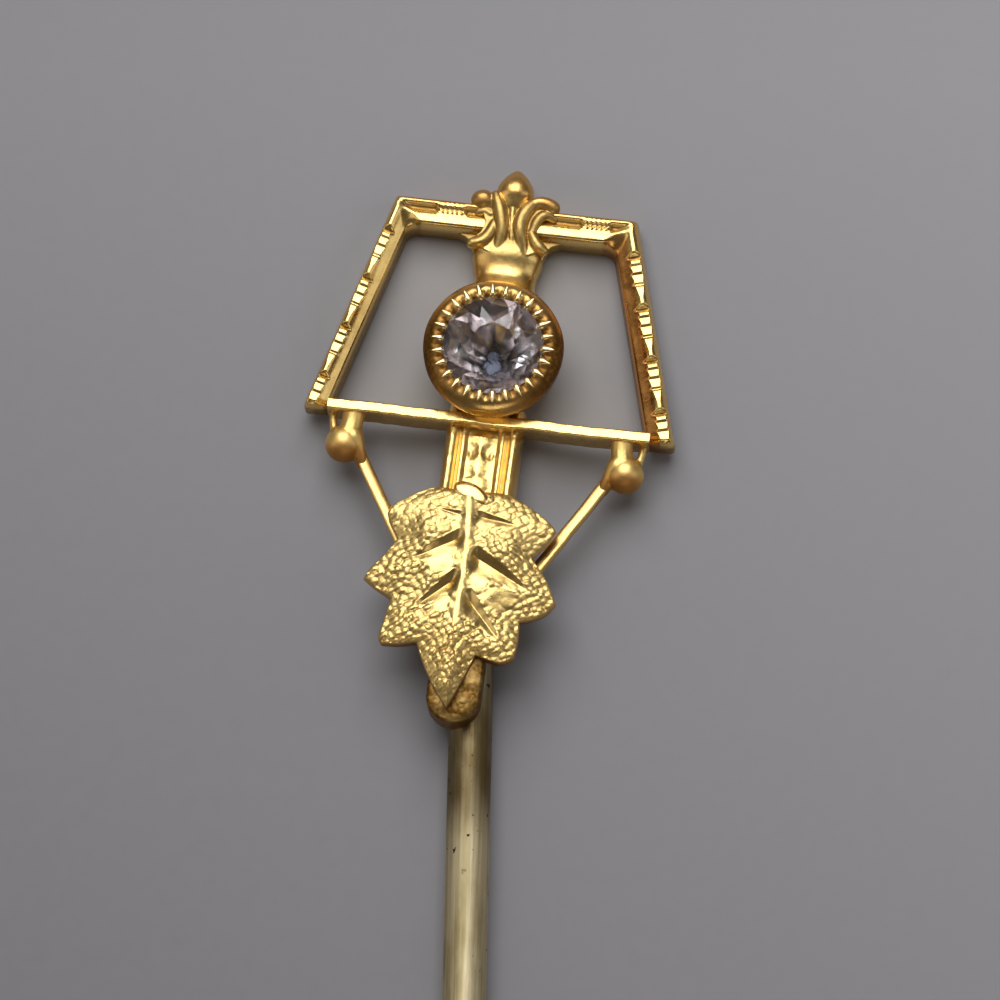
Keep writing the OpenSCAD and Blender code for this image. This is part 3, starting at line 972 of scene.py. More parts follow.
@dataclass
class Bezel:
    """The round collet: a closed cup with a domed rim and a ring of grains inside it.

    Attributes:
        rim: radius and height from the back, out and over the rim to its inner edge.
        seat: radius and height from there down to the cup's bottom, under the stone.
        off_round: how far it is off round, in three waves and in seven, as a share.
        grain_size: a grain's half length, half width and half height.
        grain_taper: how much a grain narrows outwards over half its length, as a share.
        grain_lean: its turn from level in degrees, with its inner end lower.
        grain_range: smallest and largest size, as a share.
    """

    grains: int = 26
    grain_r: float = 1.27
    grain_z: float = 1.68
    grain_size: Triple = (0.17, 0.115, 0.08)
    grain_taper: float = 0.38
    grain_lean: float = -8.0
    grain_range: Pair = (0.86, 1.14)
    notch_depth: float = 0.06
    off_round: Pair = (0.004, 0.003)
    steps: int = 312
    rim: Table = (
        (0.02, 0), (1.24, 0), (1.42, 0.3), (1.53, 0.8), (1.61, 1.1), (1.63, 1.24), (1.62, 1.36),
        (1.58, 1.46), (1.5, 1.55), (1.41, 1.61), (1.31, 1.65), (1.23, 1.67), (1.17, 1.64), (1.15, 1.55),
    )
    seat: Table = ((1.16, 1.45), (1.33, 1.44), (1.33, 1.04), (0.35, 0.1), (0.02, 0.08))

    def cup(self) -> Shape:
        """Turns the section to the cup, with a notch between each two grains.

        Returns:
            The cup, with the marks copper and grime, which paint shade on its sides and in the notches.
        """
        rows = resampled(rounded_off(self.rim + self.seat, 2), 110)
        angle = circle(self.steps)
        slow, quick = self.off_round
        wobble = 1 + slow * np.sin(3 * angle + 0.7) + quick * np.sin(7 * angle)
        radius, z = rows[:, :1] * wobble, np.repeat(rows[:, 1:], self.steps, 1)
        lip = smoothstep(1.5, 1.56, z) * smoothstep(1.42, 1.22, radius)
        notch = lip * (0.5 - 0.5 * np.cos(self.grains * angle)) ** 2
        z = z - self.notch_depth * notch
        # painted shade: the rim's outer slope redder and darker on the left and right, less so at the top
        # and bottom, and dark in the notches between the grains
        upper, lower = np.clip(np.sin(angle), 0, 1), np.clip(-np.sin(angle), 0, 1)
        side = np.clip(1.3 * np.abs(np.cos(angle)) - 0.3, 0, 1)
        copper = 0.15 * upper * smoothstep(1.2, 1.6, z) + 0.7 * side + 0.1 + 0.15 * lower
        wall = smoothstep(1.2, 1.45, radius) * (1 - 0.85 * upper)
        grime = 0.95 * notch + (1.1 * side + 0.15 - 0.15 * lower) * wall
        points = np.stack([radius * np.cos(angle), radius * np.sin(angle), z], -1)
        return lofted(points, copper=np.clip(copper, 0, 1), grime=np.clip(grime, 0, 1))

    def grain_tree(self, gold: Material) -> bpy.types.NodeTree:
        """Builds the node tree that sets long grains round a circle, leaning inwards.

        Args:
            gold: the grains' material.

        Returns:
            The tree, with the inputs Count, Radius, Height and Size.
        """
        tree = bpy.data.node_groups.new("milgrain", "GeometryNodeTree")
        sockets = {"Geometry": "Geometry", "Count": "Int", "Radius": "Float", "Height": "Float"}
        for name, kind in {**sockets, "Size": "Vector"}.items():
            tree.interface.new_socket(name, in_out="INPUT", socket_type=f"NodeSocket{kind}")
        tree.interface.new_socket("Geometry", in_out="OUTPUT", socket_type="NodeSocketGeometry")
        kinds = {
            "given": "NodeGroupInput", "result": "NodeGroupOutput", "circle": "GeometryNodeMeshCircle",
            "lift": "GeometryNodeTransform", "lift_by": "ShaderNodeCombineXYZ",
            "grain": "GeometryNodeMeshUVSphere", "spot": "GeometryNodeInputPosition",
            "parts": "ShaderNodeSeparateXYZ", "taper": "ShaderNodeMath", "drawn": "ShaderNodeCombineXYZ",
            "shaped": "GeometryNodeSetPosition", "thin_y": "ShaderNodeMath", "thin_z": "ShaderNodeMath",
            "place": "GeometryNodeInputPosition", "split": "ShaderNodeSeparateXYZ",
            "turn": "ShaderNodeMath", "facing": "ShaderNodeCombineXYZ",
            "wobble": "FunctionNodeRandomValue", "size": "ShaderNodeVectorMath",
            "spots": "GeometryNodeInstanceOnPoints", "real": "GeometryNodeRealizeInstances",
            "coat": "GeometryNodeSetMaterial",
        }
        nodes = {name: tree.nodes.new(kind) for name, kind in kinds.items()}
        operations = (
            ("taper", "MULTIPLY_ADD"), ("thin_y", "MULTIPLY"), ("thin_z", "MULTIPLY"),
            ("turn", "ARCTAN2"), ("size", "SCALE"),
        )
        for name, operation in operations:
            nodes[name].operation = operation
        nodes["wobble"].data_type = "FLOAT"
        values = (
            ("grain", "Segments", 16), ("grain", "Rings", 10), ("grain", "Radius", 1.0),
            ("taper", 1, -self.grain_taper), ("taper", 2, 1 - self.grain_taper),
            ("facing", "Y", math.radians(self.grain_lean)), ("wobble", "Min", self.grain_range[0]),
            ("wobble", "Max", self.grain_range[1]), ("wobble", "Seed", 4), ("coat", "Material", gold),
        )
        for name, socket, value in values:
            nodes[name].inputs[socket].default_value = value
        links = (
            ("given", "Count", "circle", "Vertices"), ("given", "Radius", "circle", "Radius"),
            ("given", "Height", "lift_by", "Z"), ("circle", "Mesh", "lift", "Geometry"),
            ("lift_by", "Vector", "lift", "Translation"),
            ("spot", 0, "parts", 0), ("parts", "X", "taper", 0), ("parts", "X", "drawn", "X"),
            ("parts", "Y", "thin_y", 0), ("taper", 0, "thin_y", 1), ("thin_y", 0, "drawn", "Y"),
            ("parts", "Z", "thin_z", 0), ("taper", 0, "thin_z", 1), ("thin_z", 0, "drawn", "Z"),
            ("grain", "Mesh", "shaped", "Geometry"), ("drawn", 0, "shaped", "Position"),
            ("place", 0, "split", 0), ("split", "Y", "turn", 0), ("split", "X", "turn", 1),
            ("turn", 0, "facing", "Z"), ("given", "Size", "size", 0), ("wobble", 1, "size", "Scale"),
            ("lift", "Geometry", "spots", "Points"), ("shaped", "Geometry", "spots", "Instance"),
            ("facing", 0, "spots", "Rotation"), ("size", 0, "spots", "Scale"),
            ("spots", "Instances", "real", "Geometry"), ("real", "Geometry", "coat", "Geometry"),
            ("coat", "Geometry", "result", "Geometry"),
        )
        for start, output, end, socket in links:
            tree.links.new(nodes[start].outputs[output], nodes[end].inputs[socket])
        return tree

    def build(self, bench: Bench, gold: Material, bright: Material) -> None:
        """Makes the cup and its ring of brighter grains.

        Args:
            bench: where they are set out.
            gold: the cup's material.
            bright: the grains' material.
        """
        bench.set_out("head_bezel", self.cup(), gold, sharp=180)
        obj = bench.raw_object("head_milgrain", Shape(np.zeros((1, 3)), []))
        work = obj.modifiers.new("milgrain", "NODES")
        work.node_group = self.grain_tree(bright)
        values = {"Count": self.grains, "Radius": self.grain_r, "Height": self.grain_z}
        values["Size"] = self.grain_size
        for item in work.node_group.interface.items_tree:
            if item.item_type == "SOCKET" and item.name in values:
                work[item.identifier] = values[item.name]
        shape = bench.applied(obj)
        # painted reflection: the grains a little redder towards the top of the ring
        shape.marks["copper"] = 0.1 * np.clip(shape.points[:, 1] / self.grain_r, 0, 1)
        bench.set_out("head_milgrain", shape, bright, sharp=180)


@dataclass
class Stone:
    """A round old-cut stone with a table, eight kites, eight stars and sixteen halves above.

    It is set a little crooked, lower at the bottom.

    Attributes:
        belts: radius and depth below the girdle of each ring of the lower half.
        ragged: how far the lower half's inner rings and the upper half's corners are off true.
    """

    radius: float = 1.3
    girdle_z: float = 1.21
    girdle_t: float = 0.05
    table_r: float = 0.5
    crown_mid_r: float = 0.98
    crown_h: float = 0.46
    belt: int = 16
    belts: Table = ((1.3, 0.0), (0.98, 0.29), (0.66, 0.54), (0.36, 0.8), (0.13, 0.95))
    ragged: Pair = (0.06, 0.03)
    tilt: float = 8.0
    seed: int = 5

    @staticmethod
    def ring(r: float, step: float, start: float, z: float, count: int) -> Array:
        """Gives points round a circle, with the step and start in degrees."""
        angle = np.radians(start + step * np.arange(count))
        return np.column_stack([r * np.cos(angle), r * np.sin(angle), np.full(count, z)])

    def crown(self) -> tuple[Array, list[list[int]]]:
        """Gives the upper half's points, as table, middle and girdle rings, and its facets."""
        top = self.girdle_z + self.girdle_t
        mid_z = top + self.crown_h * (self.radius - self.crown_mid_r * 0.924) / (self.radius - self.table_r)
        rings = [self.ring(self.table_r, 45.0, 0.0, top + self.crown_h, 8)]
        rings.append(self.ring(self.crown_mid_r, 45.0, 22.5, mid_z, 8))
        rings.append(self.ring(self.radius, 22.5, 0.0, top, 16))
        faces = [list(range(8))]
        for k in range(8):
            after, mid, before, rim = (k + 1) % 8, 8 + k, 8 + (k + 7) % 8, 16 + 2 * k
            far = 16 + (2 * k + 2) % 16
            faces += [[k, mid, after], [k, before, rim, mid], [mid, rim, rim + 1], [mid, rim + 1, far]]
        return np.vstack(rings), faces

    def build(self, bench: Bench, glass: Material, foil: Material) -> None:
        """Makes the stone, cut a little unevenly by hand.

        Args:
            bench: where it is set out.
            glass: the material of the table, the upper facets and the girdle.
            foil: the backing on the lower facets.
        """
        uneven = np.random.default_rng(self.seed)
        deep, shallow = self.ragged
        points, faces = self.crown()
        points[:16, :2] += shallow * uneven.uniform(-1, 1, (16, 2))
        n, base, last = self.belt, len(points), len(self.belts) - 1
        rows = []
        for k, (r, drop) in enumerate(self.belts):
            row = self.ring(r, 360 / n, k * 180 / n, self.girdle_z - drop, n)
            rows.append(row + uneven.uniform(-1, 1, (n, 3)) * deep if 0 < k < last else row)
        faces += [[16 + k, 16 + (k + 1) % n, base + (k + 1) % n, base + k] for k in range(n)]
        band = len(faces)
        for a, b, d, c in ring_faces(last + 1, n):
            faces += [[base + a, base + b, base + c], [base + b, base + d, base + c]]
        faces.append([base + last * n + k for k in range(n)])
        points = np.vstack([points, *rows])
        x, y = points[:, 0], points[:, 1]
        points[:, 2] += y * math.tan(math.radians(self.tilt))
        # painted light on the backing: a dark reflection in the middle, and shade that darkens it towards
        # the bottom
        dark = smoothstep(0.5, 0.24, np.hypot((x - 0.05) / 0.85, y - 0.12)) * (points[:, 2] < self.girdle_z)
        shape = Shape(points, faces, {"grime": 0.9 * smoothstep(0.05, -0.3, y), "frost_and_dark_centre": dark})
        obj = bench.set_out("cut_stone", shape, glass, foil, sharp=1, node=Node.STONE, slot=Slot.STONE)
        for index, face in enumerate(obj.data.polygons):
            face.use_smooth = False
            face.material_index = int(index >= band)


@dataclass
class Crossbar:
    """The thin strip on edge that closes the frame at the bottom."""

    y: float = -1.62
    thick: float = 0.28
    low: float = 0.12
    high: float = 0.95
    half: float = 3.74
    shift: float = 0.08
    edge: float = 0.05
    drop: float = 0.03
    waves: Pair = (0.012, 0.006)
    stations: int = 200

    def build(self, bench: Bench, gold: Material) -> None:
        """Makes the strip, a little uneven along its front.

        Args:
            bench: where it is set out.
            gold: its material.
        """
        e, t, h, front = self.edge, self.thick / 2, self.high, self.high - self.drop
        section = [(-t, self.low), (-t, h - e), (-t + 0.3 * e, h - 0.3 * e), (-t + e, h)]
        section += [(t - e, front), (t - 0.3 * e, front - 0.3 * e), (t, front - e), (t, self.low)]
        rows = rounded_off(section, 1)
        x = np.linspace(-self.half, self.half, self.stations)[:, None]
        slow, quick = self.waves
        wave = slow * soft_noise(x * 2.2, x * 0, 3) + quick * soft_noise(x * 7, x * 0 + 3, 4)
        rise = rows[:, 1] * (1 + 0.5 * wave)
        points = np.stack(np.broadcast_arrays(x + self.shift, self.y + rows[:, 0] + wave, rise), -1)
        # painted shade: the strip's side towards the head's foot, below its top edge, a little redder and
        # darker
        lower = smoothstep(-t * 0.2, -t, rows[:, 0]) * smoothstep(h - 0.02, h - 0.15, points[..., 2])
        bench.set_out("head_crossbar", lofted(points, copper=0.2 * lower, grime=0.2 * lower), gold)


@dataclass
class Column:
    """The grooved pilaster under the bezel, with a block, a stalk, a bead and a bar.

    Attributes:
        flutes: the right half of its section, as x and z.
        baluster: the raised motif's half width at each y.
        rise: how steeply its face rises away from the bezel.
        relief: the motif's height.
        pit: depth of the two pits beside it.
        dents: depth of its beating, of its finer beating and of its ribs.
    """

    top_y: float = -1.2
    end_y: float = -3.75
    cols: int = 150
    rows: int = 210
    rise: float = 0.11
    relief: float = 0.065
    pit: float = 0.03
    dents: Triple = (0.006, 0.003, 0.006)
    flutes: Table = (
        (0.34, 0.47), (0.38, 0.51), (0.42, 0.54), (0.48, 0.54), (0.52, 0.49), (0.55, 0.47), (0.6, 0.52),
        (0.64, 0.58), (0.73, 0.6), (0.79, 0.56), (0.84, 0.46), (0.88, 0.34), (0.9, 0.2), (0.9, 0.0),
    )
    baluster: Table = (
        (-3.4, 0.1), (-3.16, 0.24), (-3.02, 0.22), (-2.9, 0.1), (-2.78, 0.17), (-2.64, 0.2), (-2.5, 0.15),
        (-2.38, 0.08), (-2.2, 0.11), (-2.08, 0.22), (-1.9, 0.2),
    )

    def motif(self, x: Array, y: Array) -> Array:
        """Gives the height of the raised baluster on the panel."""
        body = hill(x, -0.03, np.interp(y, *zip(*self.baluster))) * between(y, -3.45, -3.2, -1.95, -1.8)
        return self.relief * body - self.pit * hill(np.abs(x), 0.24, 0.05) * hill(y, -2.4, 0.1)

    def build(self, bench: Bench, gold: Material) -> None:
        """Makes the column from its section and motif.

        Args:
            bench: where it is set out.
            gold: its material.
        """
        right = rounded_off(self.flutes, 1)
        section = resampled(np.vstack([right[::-1] * [-1, 1], right]), self.cols)
        down = np.linspace(self.top_y, self.end_y, self.rows)[:, None]
        x, y, z = np.broadcast_arrays(section[:, 0], down, section[:, 1])
        coarse, fine, ribbed = self.dents
        beaten = coarse * soft_noise(x * 7, y * 7, 8) + fine * soft_noise(x * 18, y * 18, 9)
        ribs = ribbed * soft_noise(x * 2, y * 7, 10) * (z > 0.45)
        motif = smoothstep(0.36, 0.32, np.abs(x)) * self.motif(x, y)
        z = np.where(z > 0.3, z + motif + beaten + ribs + self.rise * (self.top_y - y), z)
        # painted shade: the column's outer edges a little redder and darker
        shape = lofted(np.stack([x, y, z], -1), copper=0.15 * smoothstep(0.75, 0.9, np.abs(x)))
        bench.set_out("head_column", shape, gold)


@dataclass
class Struts:
    """The balls under the crossbar's ends, and the wires from them to behind the leaf.

    Attributes:
        ball_at: the right ball's centre.
        necks: x, y, z and radius along the right ball's neck, its outer lug and the wire's root.
        wire_top: x and y of the right wire's upper end.
        wire_foot: x and y of its lower end.
        wire_z: height of its back and of its front.
        wire_slope: how far its front slopes towards the head's top.
        wire_edge: how far its edges are cut back before they are rounded.
        wire_bend: how far it bends slowly, and quickly.
    """

    ball_r: float = 0.44
    ball_at: Triple = (3.27, -2.45, 0.5)
    shift: float = 0.08
    necks: tuple[Table, ...] = (
        ((3.12, -1.7, 0.62, 0.27), (3.14, -2.0, 0.6, 0.25), (3.2, -2.35, 0.6, 0.3)),
        ((3.62, -1.6, 0.45, 0.09), (3.6, -1.95, 0.45, 0.085), (3.5, -2.25, 0.45, 0.12)),
        ((3.08, -2.3, 0.62, 0.26), (2.9, -2.65, 0.5, 0.17), (2.8, -2.85, 0.42, 0.14)),
    )
    voxel: float = 0.02
    smooth: int = 6
    wire_top: Pair = (2.96, -2.46)
    wire_foot: Pair = (0.54, -6.55)
    wire_half: float = 0.15
    wire_z: Pair = (0.2, 0.55)
    wire_slope: float = 0.4
    wire_edge: float = 0.07
    wire_bend: Pair = (0.02, 0.006)
    stations: int = 90

    def ball_shape(self, side: Side, bench: Bench) -> Shape:
        """Melts a ball with its neck, its outer lug and the wire's root.

        Args:
            side: which ball.
            bench: where shells are melted.

        Returns:
            The ball, with the marks copper and grime, which paint shade on its lower part.
        """
        x, y, z = self.ball_at
        shapes = [ball((side.value * x, y, z), (self.ball_r,) * 3, 18)]
        shapes += [strand([(side.value * row[0], *row[1:]) for row in rows]) for rows in self.necks]
        shape = bench.fused(shapes, self.voxel, self.smooth)
        # painted shade: the ball's lower part redder, and its bottom darker
        below = shape.points[:, 1] - y
        shape.marks["copper"] = 0.8 * smoothstep(0.05, -0.25, below)
        shape.marks["grime"] = 0.5 * smoothstep(-0.05, -0.4, below)
        return shape.moved((self.shift, 0, 0))

    def wire_shape(self, side: Side) -> Shape:
        """Draws one strut with a flat front and rounded edges, slightly bent.

        Args:
            side: which strut.

        Returns:
            The strut, with the mark copper.
        """
        top, foot = (np.array(end) * [side.value, 1] for end in (self.wire_top, self.wire_foot))
        along = (foot - top) / np.linalg.norm(foot - top)
        across = np.array([-along[1], along[0]])
        (low, high), w, edge = self.wire_z, self.wire_half, self.wire_z[1] - self.wire_edge
        rows = [(-w, low), (-w, edge), (-w * 0.7, high), (w * 0.7, high), (w, edge), (w, low)]
        rows = rounded_off(rows, 2, closed=True)
        rows[:, 1] -= self.wire_slope * across[1] * rows[:, 0]
        f = np.linspace(0, 1, self.stations)[:, None]
        slow, quick = self.wire_bend
        bend = slow * np.sin(f * math.pi * 1.3 + side.value)
        bend = bend + quick * soft_noise(f * 14, f * 0, 20 + side.value)
        mid = top + (foot - top) * f + across * bend
        flat = mid[:, None] + across * rows[:, :1]
        return lofted(np.dstack([flat, rows[:, 1] + 0.3 * bend]), copper=0.15).moved((self.shift, 0, 0))

    def build(self, bench: Bench, gold: Material, dull: Material) -> None:
        """Makes both balls, which are duller, and both wires.

        Args:
            bench: where they are set out.
            gold: the wires' material.
            dull: the balls' material.
        """
        for side in Side:
            word = side.name.lower()
            bench.set_out(f"head_ball_{word}", self.ball_shape(side, bench), dull, sharp=180)
            bench.set_out(f"head_wire_{word}", self.wire_shape(side), gold)


@dataclass
class Leaf:
    """The seven-lobed leaf: domed, bright-cut along its veins and frosted towards its edge.

    Attributes:
        left: the left side's outline, from the head to the tip, as x and y.
        right: the right side's.
        roots: the y on the midrib that each lobe and notch grows from, down the leaf.
        left_turns: which outline points on the left are the lobes' tips and the notches.
        right_turns: the same on the right.
        veins: each cut vein's start x, start y, end x, end y and width.
        midrib: the midrib's x at each y, down the leaf.
        bulges: each swelling's x, y, size and height.
        smooth_patches: each polished patch's x, y, half width and half height.
        walls: the edge's wall below the face, as a share of its height and of the outline.
        edge_round: how far the face falls at its very edge.
        tip_rise: how steeply the face rises below its middle.
        rib: the midrib's least height, what is added to it further up, and its half width.
        grain_slant: slant of the frosting's rows, in degrees.
        nugget: a nugget's length, width and height.
        pebble: a pebble's length, width and height.
        uneven: how far the whole face is off true.
        stalk_at: middle of the short thick stalk over the leaf's head.
        stalk_size: its half sizes.
        stalk_slopes: how far it slants in y along x, and in z along y.
    """

    edge_z: float = 1.0
    dome: float = 0.22
    back_z: float = 0.74
    side_points: int = 360
    rings: int = 92
    left: Table = (
        (-0.5, -3.36), (-0.86, -3.33), (-1.22, -3.46), (-1.55, -3.68), (-1.86, -3.88), (-1.94, -4.1),
        (-1.83, -4.38), (-1.63, -4.66), (-1.9, -5.12), (-2.2, -5.48), (-2.28, -5.7), (-1.98, -5.92),
        (-1.6, -6.1), (-1.7, -6.65), (-1.78, -7.05), (-1.68, -7.19), (-1.32, -7.18), (-0.88, -7.07),
        (-0.68, -7.54), (-0.36, -8.07), (0.0, -8.53),
    )
    right: Table = (
        (0.5, -3.34), (0.74, -3.34), (1.08, -3.46), (1.46, -3.68), (1.79, -3.88), (1.97, -4.1),
        (1.8, -4.44), (1.48, -4.77), (1.75, -5.08), (2.0, -5.42), (2.16, -5.8), (2.0, -6.06),
        (1.7, -6.24), (1.4, -6.32), (1.43, -6.8), (1.37, -7.2), (1.1, -7.37), (0.8, -7.31),
        (0.5, -7.22), (0.26, -7.9), (0.0, -8.53),
    )
    roots: tuple[float, ...] = (-3.6, -3.9, -4.3, -4.9, -5.4, -6.1, -6.7, -8.1)
    left_turns: tuple[int, ...] = (0, 5, 7, 10, 12, 15, 17, 20)
    right_turns: tuple[int, ...] = (0, 5, 7, 10, 13, 15, 18, 20)
    veins: Table = (
        (-0.12, -4.02, -0.85, -3.9, 0.45), (0.08, -3.97, 1.15, -4.12, 0.65),
        (-0.1, -4.47, -1.24, -5.16, 0.95), (0.1, -4.88, 1.55, -5.62, 1.15),
        (-0.06, -5.38, -1.04, -6.29, 0.95), (0.04, -5.8, 1.0, -6.86, 1.0),
    )
    vein_depth: float = 0.14
    midrib: Table = (
        (-0.13, -3.5), (-0.08, -3.78), (-0.01, -4.86), (-0.02, -5.59), (-0.05, -6.57), (0.0, -8.3),
    )
    bulges: Table = (
        (-0.9, -4.45, 0.42, 0.15), (0.85, -4.65, 0.42, 0.15), (-1.45, -5.45, 0.5, 0.05),
        (1.35, -5.55, 0.45, 0.03), (0.55, -5.75, 0.4, 0.05), (-0.65, -5.35, 0.35, 0.04),
        (-1.1, -6.7, 0.4, 0.05), (0.9, -6.95, 0.35, 0.03), (-0.1, -7.5, 0.3, 0.04),
    )
    smooth_patches: Table = (
        (0.85, -5.85, 0.5, 0.35), (-0.55, -5.2, 0.35, 0.3), (0.35, -5.4, 0.3, 0.35),
        (-0.4, -6.1, 0.2, 0.25),
    )
    walls: Table = ((0.66, 1.0), (0.33, 0.998), (0.08, 0.99), (0.0, 0.975))
    edge_round: float = 0.07
    tip_rise: float = 0.055
    rib: Triple = (0.02, 0.035, 0.16)
    grain_slant: float = 35.0
    nugget: Triple = (0.165, 0.14, 0.06)
    pebble: Triple = (0.08, 0.075, 0.008)
    uneven: float = 0.006
    stalk_at: Triple = (-0.07, -3.46, 1.09)
    stalk_size: Triple = (0.42, 0.25, 0.14)
    stalk_slopes: Pair = (-0.25, -0.15)

    def side_edge(self, side: Side) -> Array:
        """Gives one side's outline, from the leaf's head to its tip.

        Args:
            side: which side.

        Returns:
            Rows of x, y and the midrib's y that the point is drawn from.
        """
        rows, turns = (self.right, self.right_turns) if side is Side.RIGHT else (self.left, self.left_turns)
        index = np.arange(len(rows))
        twice = np.where(np.isin(index, turns[1:-1]), 2, 1)
        rows = np.column_stack([rows, np.interp(index, turns, self.roots)])
        return resampled(rounded_off(np.repeat(rows, twice, axis=0), 3), self.side_points)

    def middle(self, y: Array) -> Array:
        """Gives the midrib's x at a height."""
        x_rows, y_rows = zip(*reversed(self.midrib))
        return np.interp(y, y_rows, x_rows)

    def grooves(self, x: Array, y: Array) -> tuple[Array, Array]:
        """Gives how deep the bright-cut veins go, and where their polished facets lie.

        Args:
            x: the points' x.
            y: the points' y.

        Returns:
            The depth, and a share that is 1 on the facets.
        """
        depth, bright = np.zeros(x.shape), np.zeros(x.shape)
        for x0, y0, x1, y1, size in self.veins:
            run_x, run_y = x1 - x0, y1 - y0
            length = math.hypot(run_x, run_y)
            along = ((x - x0) * run_x + (y - y0) * run_y) / length
            below = ((x - x0) * run_y - (y - y0) * run_x) / length * math.copysign(1, run_x)
            wide = size * np.clip(1.05 - np.clip(along / length, 0, 1), 0, 1) ** 0.6
            ends = smoothstep(-0.06, 0.1, along) * (1 - smoothstep(length - 0.3, length + 0.05, along))
            steep, gentle = 0.2 * wide + 1e-3, 0.42 * wide + 1e-3
            wall, slope = np.clip(1 + below / steep, 0, 1), np.clip(1 - below / gentle, 0, 1) ** 1.3
            depth = np.maximum(depth, self.vein_depth * wide * np.where(below < 0, wall, slope) * ends)
            lit = smoothstep(-steep * 1.3, -steep * 0.8, below)
            lit = lit * (1 - smoothstep(gentle * 0.4, gentle * 1.3, below))
            bright = np.maximum(bright, ends * lit)
        return depth, bright

    def polished(self, x: Array, y: Array) -> Array:
        """Gives the share of the smooth polished patches beside the midrib."""
        share = hill(x, self.middle(y), 0.26) * smoothstep(-6.9, -6.3, y)
        for cx, cy, rx, ry in self.smooth_patches:
            share = np.maximum(share, 1 - smoothstep(0.6, 1.2, np.hypot((x - cx) / rx, (y - cy) / ry)))
        return share

    def grains(self, x: Array, y: Array) -> Array:
        """Gives the height of the frosting's nuggets, which lie in slanting rows.

        Args:
            x: the points' x.
            y: the points' y.

        Returns:
            The height of nuggets and pebbles, in millimetres.
        """
        slant = math.radians(self.grain_slant)
        u, v = x * math.cos(slant) + y * math.sin(slant), -x * math.sin(slant) + y * math.cos(slant)
        bend = 0.05 * soft_noise(x * 2, y * 2, 14)
        length, width, high = self.nugget
        gap, value = cells((u + bend) / length, (v - bend) / width, 11)
        nuggets = mound(gap, 0.72) ** 0.9 * (0.5 + 0.5 * value)
        length, width, low = self.pebble
        gap, value = cells(u / length, v / width, 12)
        pebbles = mound(gap, 0.75) * (0.4 + 0.6 * value)
        coarse = 0.45 + 0.55 * smoothstep(-4.2, -5.2, y)
        return high * coarse * nuggets + low * pebbles

    def relief(self, x: Array, y: Array, t: Array) -> tuple[Array, Array]:
        """Gives the face's height and its frosting.

        Args:
            x: the points' x.
            y: the points' y.
            t: place from the midrib, 0, to the edge, 1.

        Returns:
            The height above the head's back, and the frosted share.
        """
        z = self.edge_z + self.dome * (1 - t**2)
        for cx, cy, size, rise in self.bulges:
            z = z + rise * hill(x, cx, size) * hill(y, cy, size)
        off = x - self.middle(y)
        least, more, half = self.rib
        rib = least + more * smoothstep(-7.6, -6.2, y)
        z = z + rib * hill(off, 0, half) * smoothstep(-8.0, -6.8, y)
        z = z + self.tip_rise * np.clip(-5.8 - y, 0, 3)
        depth, bright = self.grooves(x, y)
        depth = depth * smoothstep(0.0, 0.34, np.abs(off))
        frost_and_dark_centre = np.clip(1 - np.maximum(bright, self.polished(x, y)), 0, 1)
        z = z - depth + frost_and_dark_centre * (self.grains(x, y) - 0.03) + self.uneven * soft_noise(x * 6, y * 6, 13)
        return z - self.edge_round * smoothstep(0.975, 1.0, t) ** 2, frost_and_dark_centre

    def stalk(self) -> Shape:
        """Flattens a ball to the lump of the stalk, which slants down to the right.

        Returns:
            The stalk.
        """
        shape = ball((0, 0, 0), (1, 1, 1), 24)
        x, y, z = shape.points.T
        flat = np.maximum(np.hypot(x, y), 1e-6) ** -0.4
        flat = flat * (1 + 0.13 * soft_noise(1.6 * x + 4, 1.6 * y, 15))
        half_x, half_y, half_z = self.stalk_size
        slant, fall = self.stalk_slopes
        x, y = half_x * x * flat, half_y * y * flat
        shape.points = np.stack([x, y + slant * x, half_z * z + fall * y], 1) + self.stalk_at
        return shape

    def build(self, bench: Bench, gold: Material, bright: Material) -> None:
        """Makes the frosted leaf, and the short thick stalk that lies over its head.

        Args:
            bench: where they are set out.
            gold: the leaf's material.
            bright: the stalk's material.
        """
        outline = np.vstack([self.side_edge(Side.RIGHT), self.side_edge(Side.LEFT)[::-1][1:]])
        edge_x, edge_y, root = outline.T
        t = np.repeat(1 - np.linspace(0, 1, self.rings)[:, None] ** 0.95 * 0.995, len(outline), 1)
        x, y = edge_x * t + self.middle(root) * (1 - t), root + (edge_y - root) * t
        z, frost_and_dark_centre = self.relief(x, y, t)
        # the wall under the edge, then the flat back drawn in to a point, from the back upwards
        last = self.walls[-1][1]
        levels = [*self.walls, *((0.0, last * (1 - k / 6 * 0.99)) for k in range(1, 7))]
        up, draw = np.array(levels[::-1])[:, :, None].transpose(1, 0, 2)
        back_y = root + (y[0] - root) * draw
        back = np.stack([x[0] * draw, back_y, self.back_z + (z[0] - self.back_z) * up], -1)
        # painted shade: the wall under the edge redder and darker, and the face's rim too, more towards the
        # tip
        low = smoothstep(-5.0, -7.0, y)
        marks = {
            "frost_and_dark_centre": (0.0, frost_and_dark_centre),
            "copper": (0.9, smoothstep(0.96, 1.0, t) * (0.1 + 0.5 * low)),
            "grime": (0.7, smoothstep(0.98, 1.0, t) * 0.4 * low),
        }
        wall = np.ones(back_y.shape)
        marks = {name: np.vstack([wall * under, face]) for name, (under, face) in marks.items()}
        shape = lofted(np.concatenate([back, np.stack([x, y, z], -1)]), **marks)
        # the innermost ring is closed across the midrib by quads
        n, half = len(outline), self.side_points
        first = len(shape.points) - n
        seam = [[first + k, first + k + 1, first + n - 2 - k, first + n - 1 - k] for k in range(half - 2)]
        shape.faces[-1:] = [*seam, [first + half - 2, first + half - 1, first + half]]
        bench.set_out("head_leaf", shape, gold, sharp=50)
        bench.set_out("head_stalk", self.stalk(), bright, sharp=180)


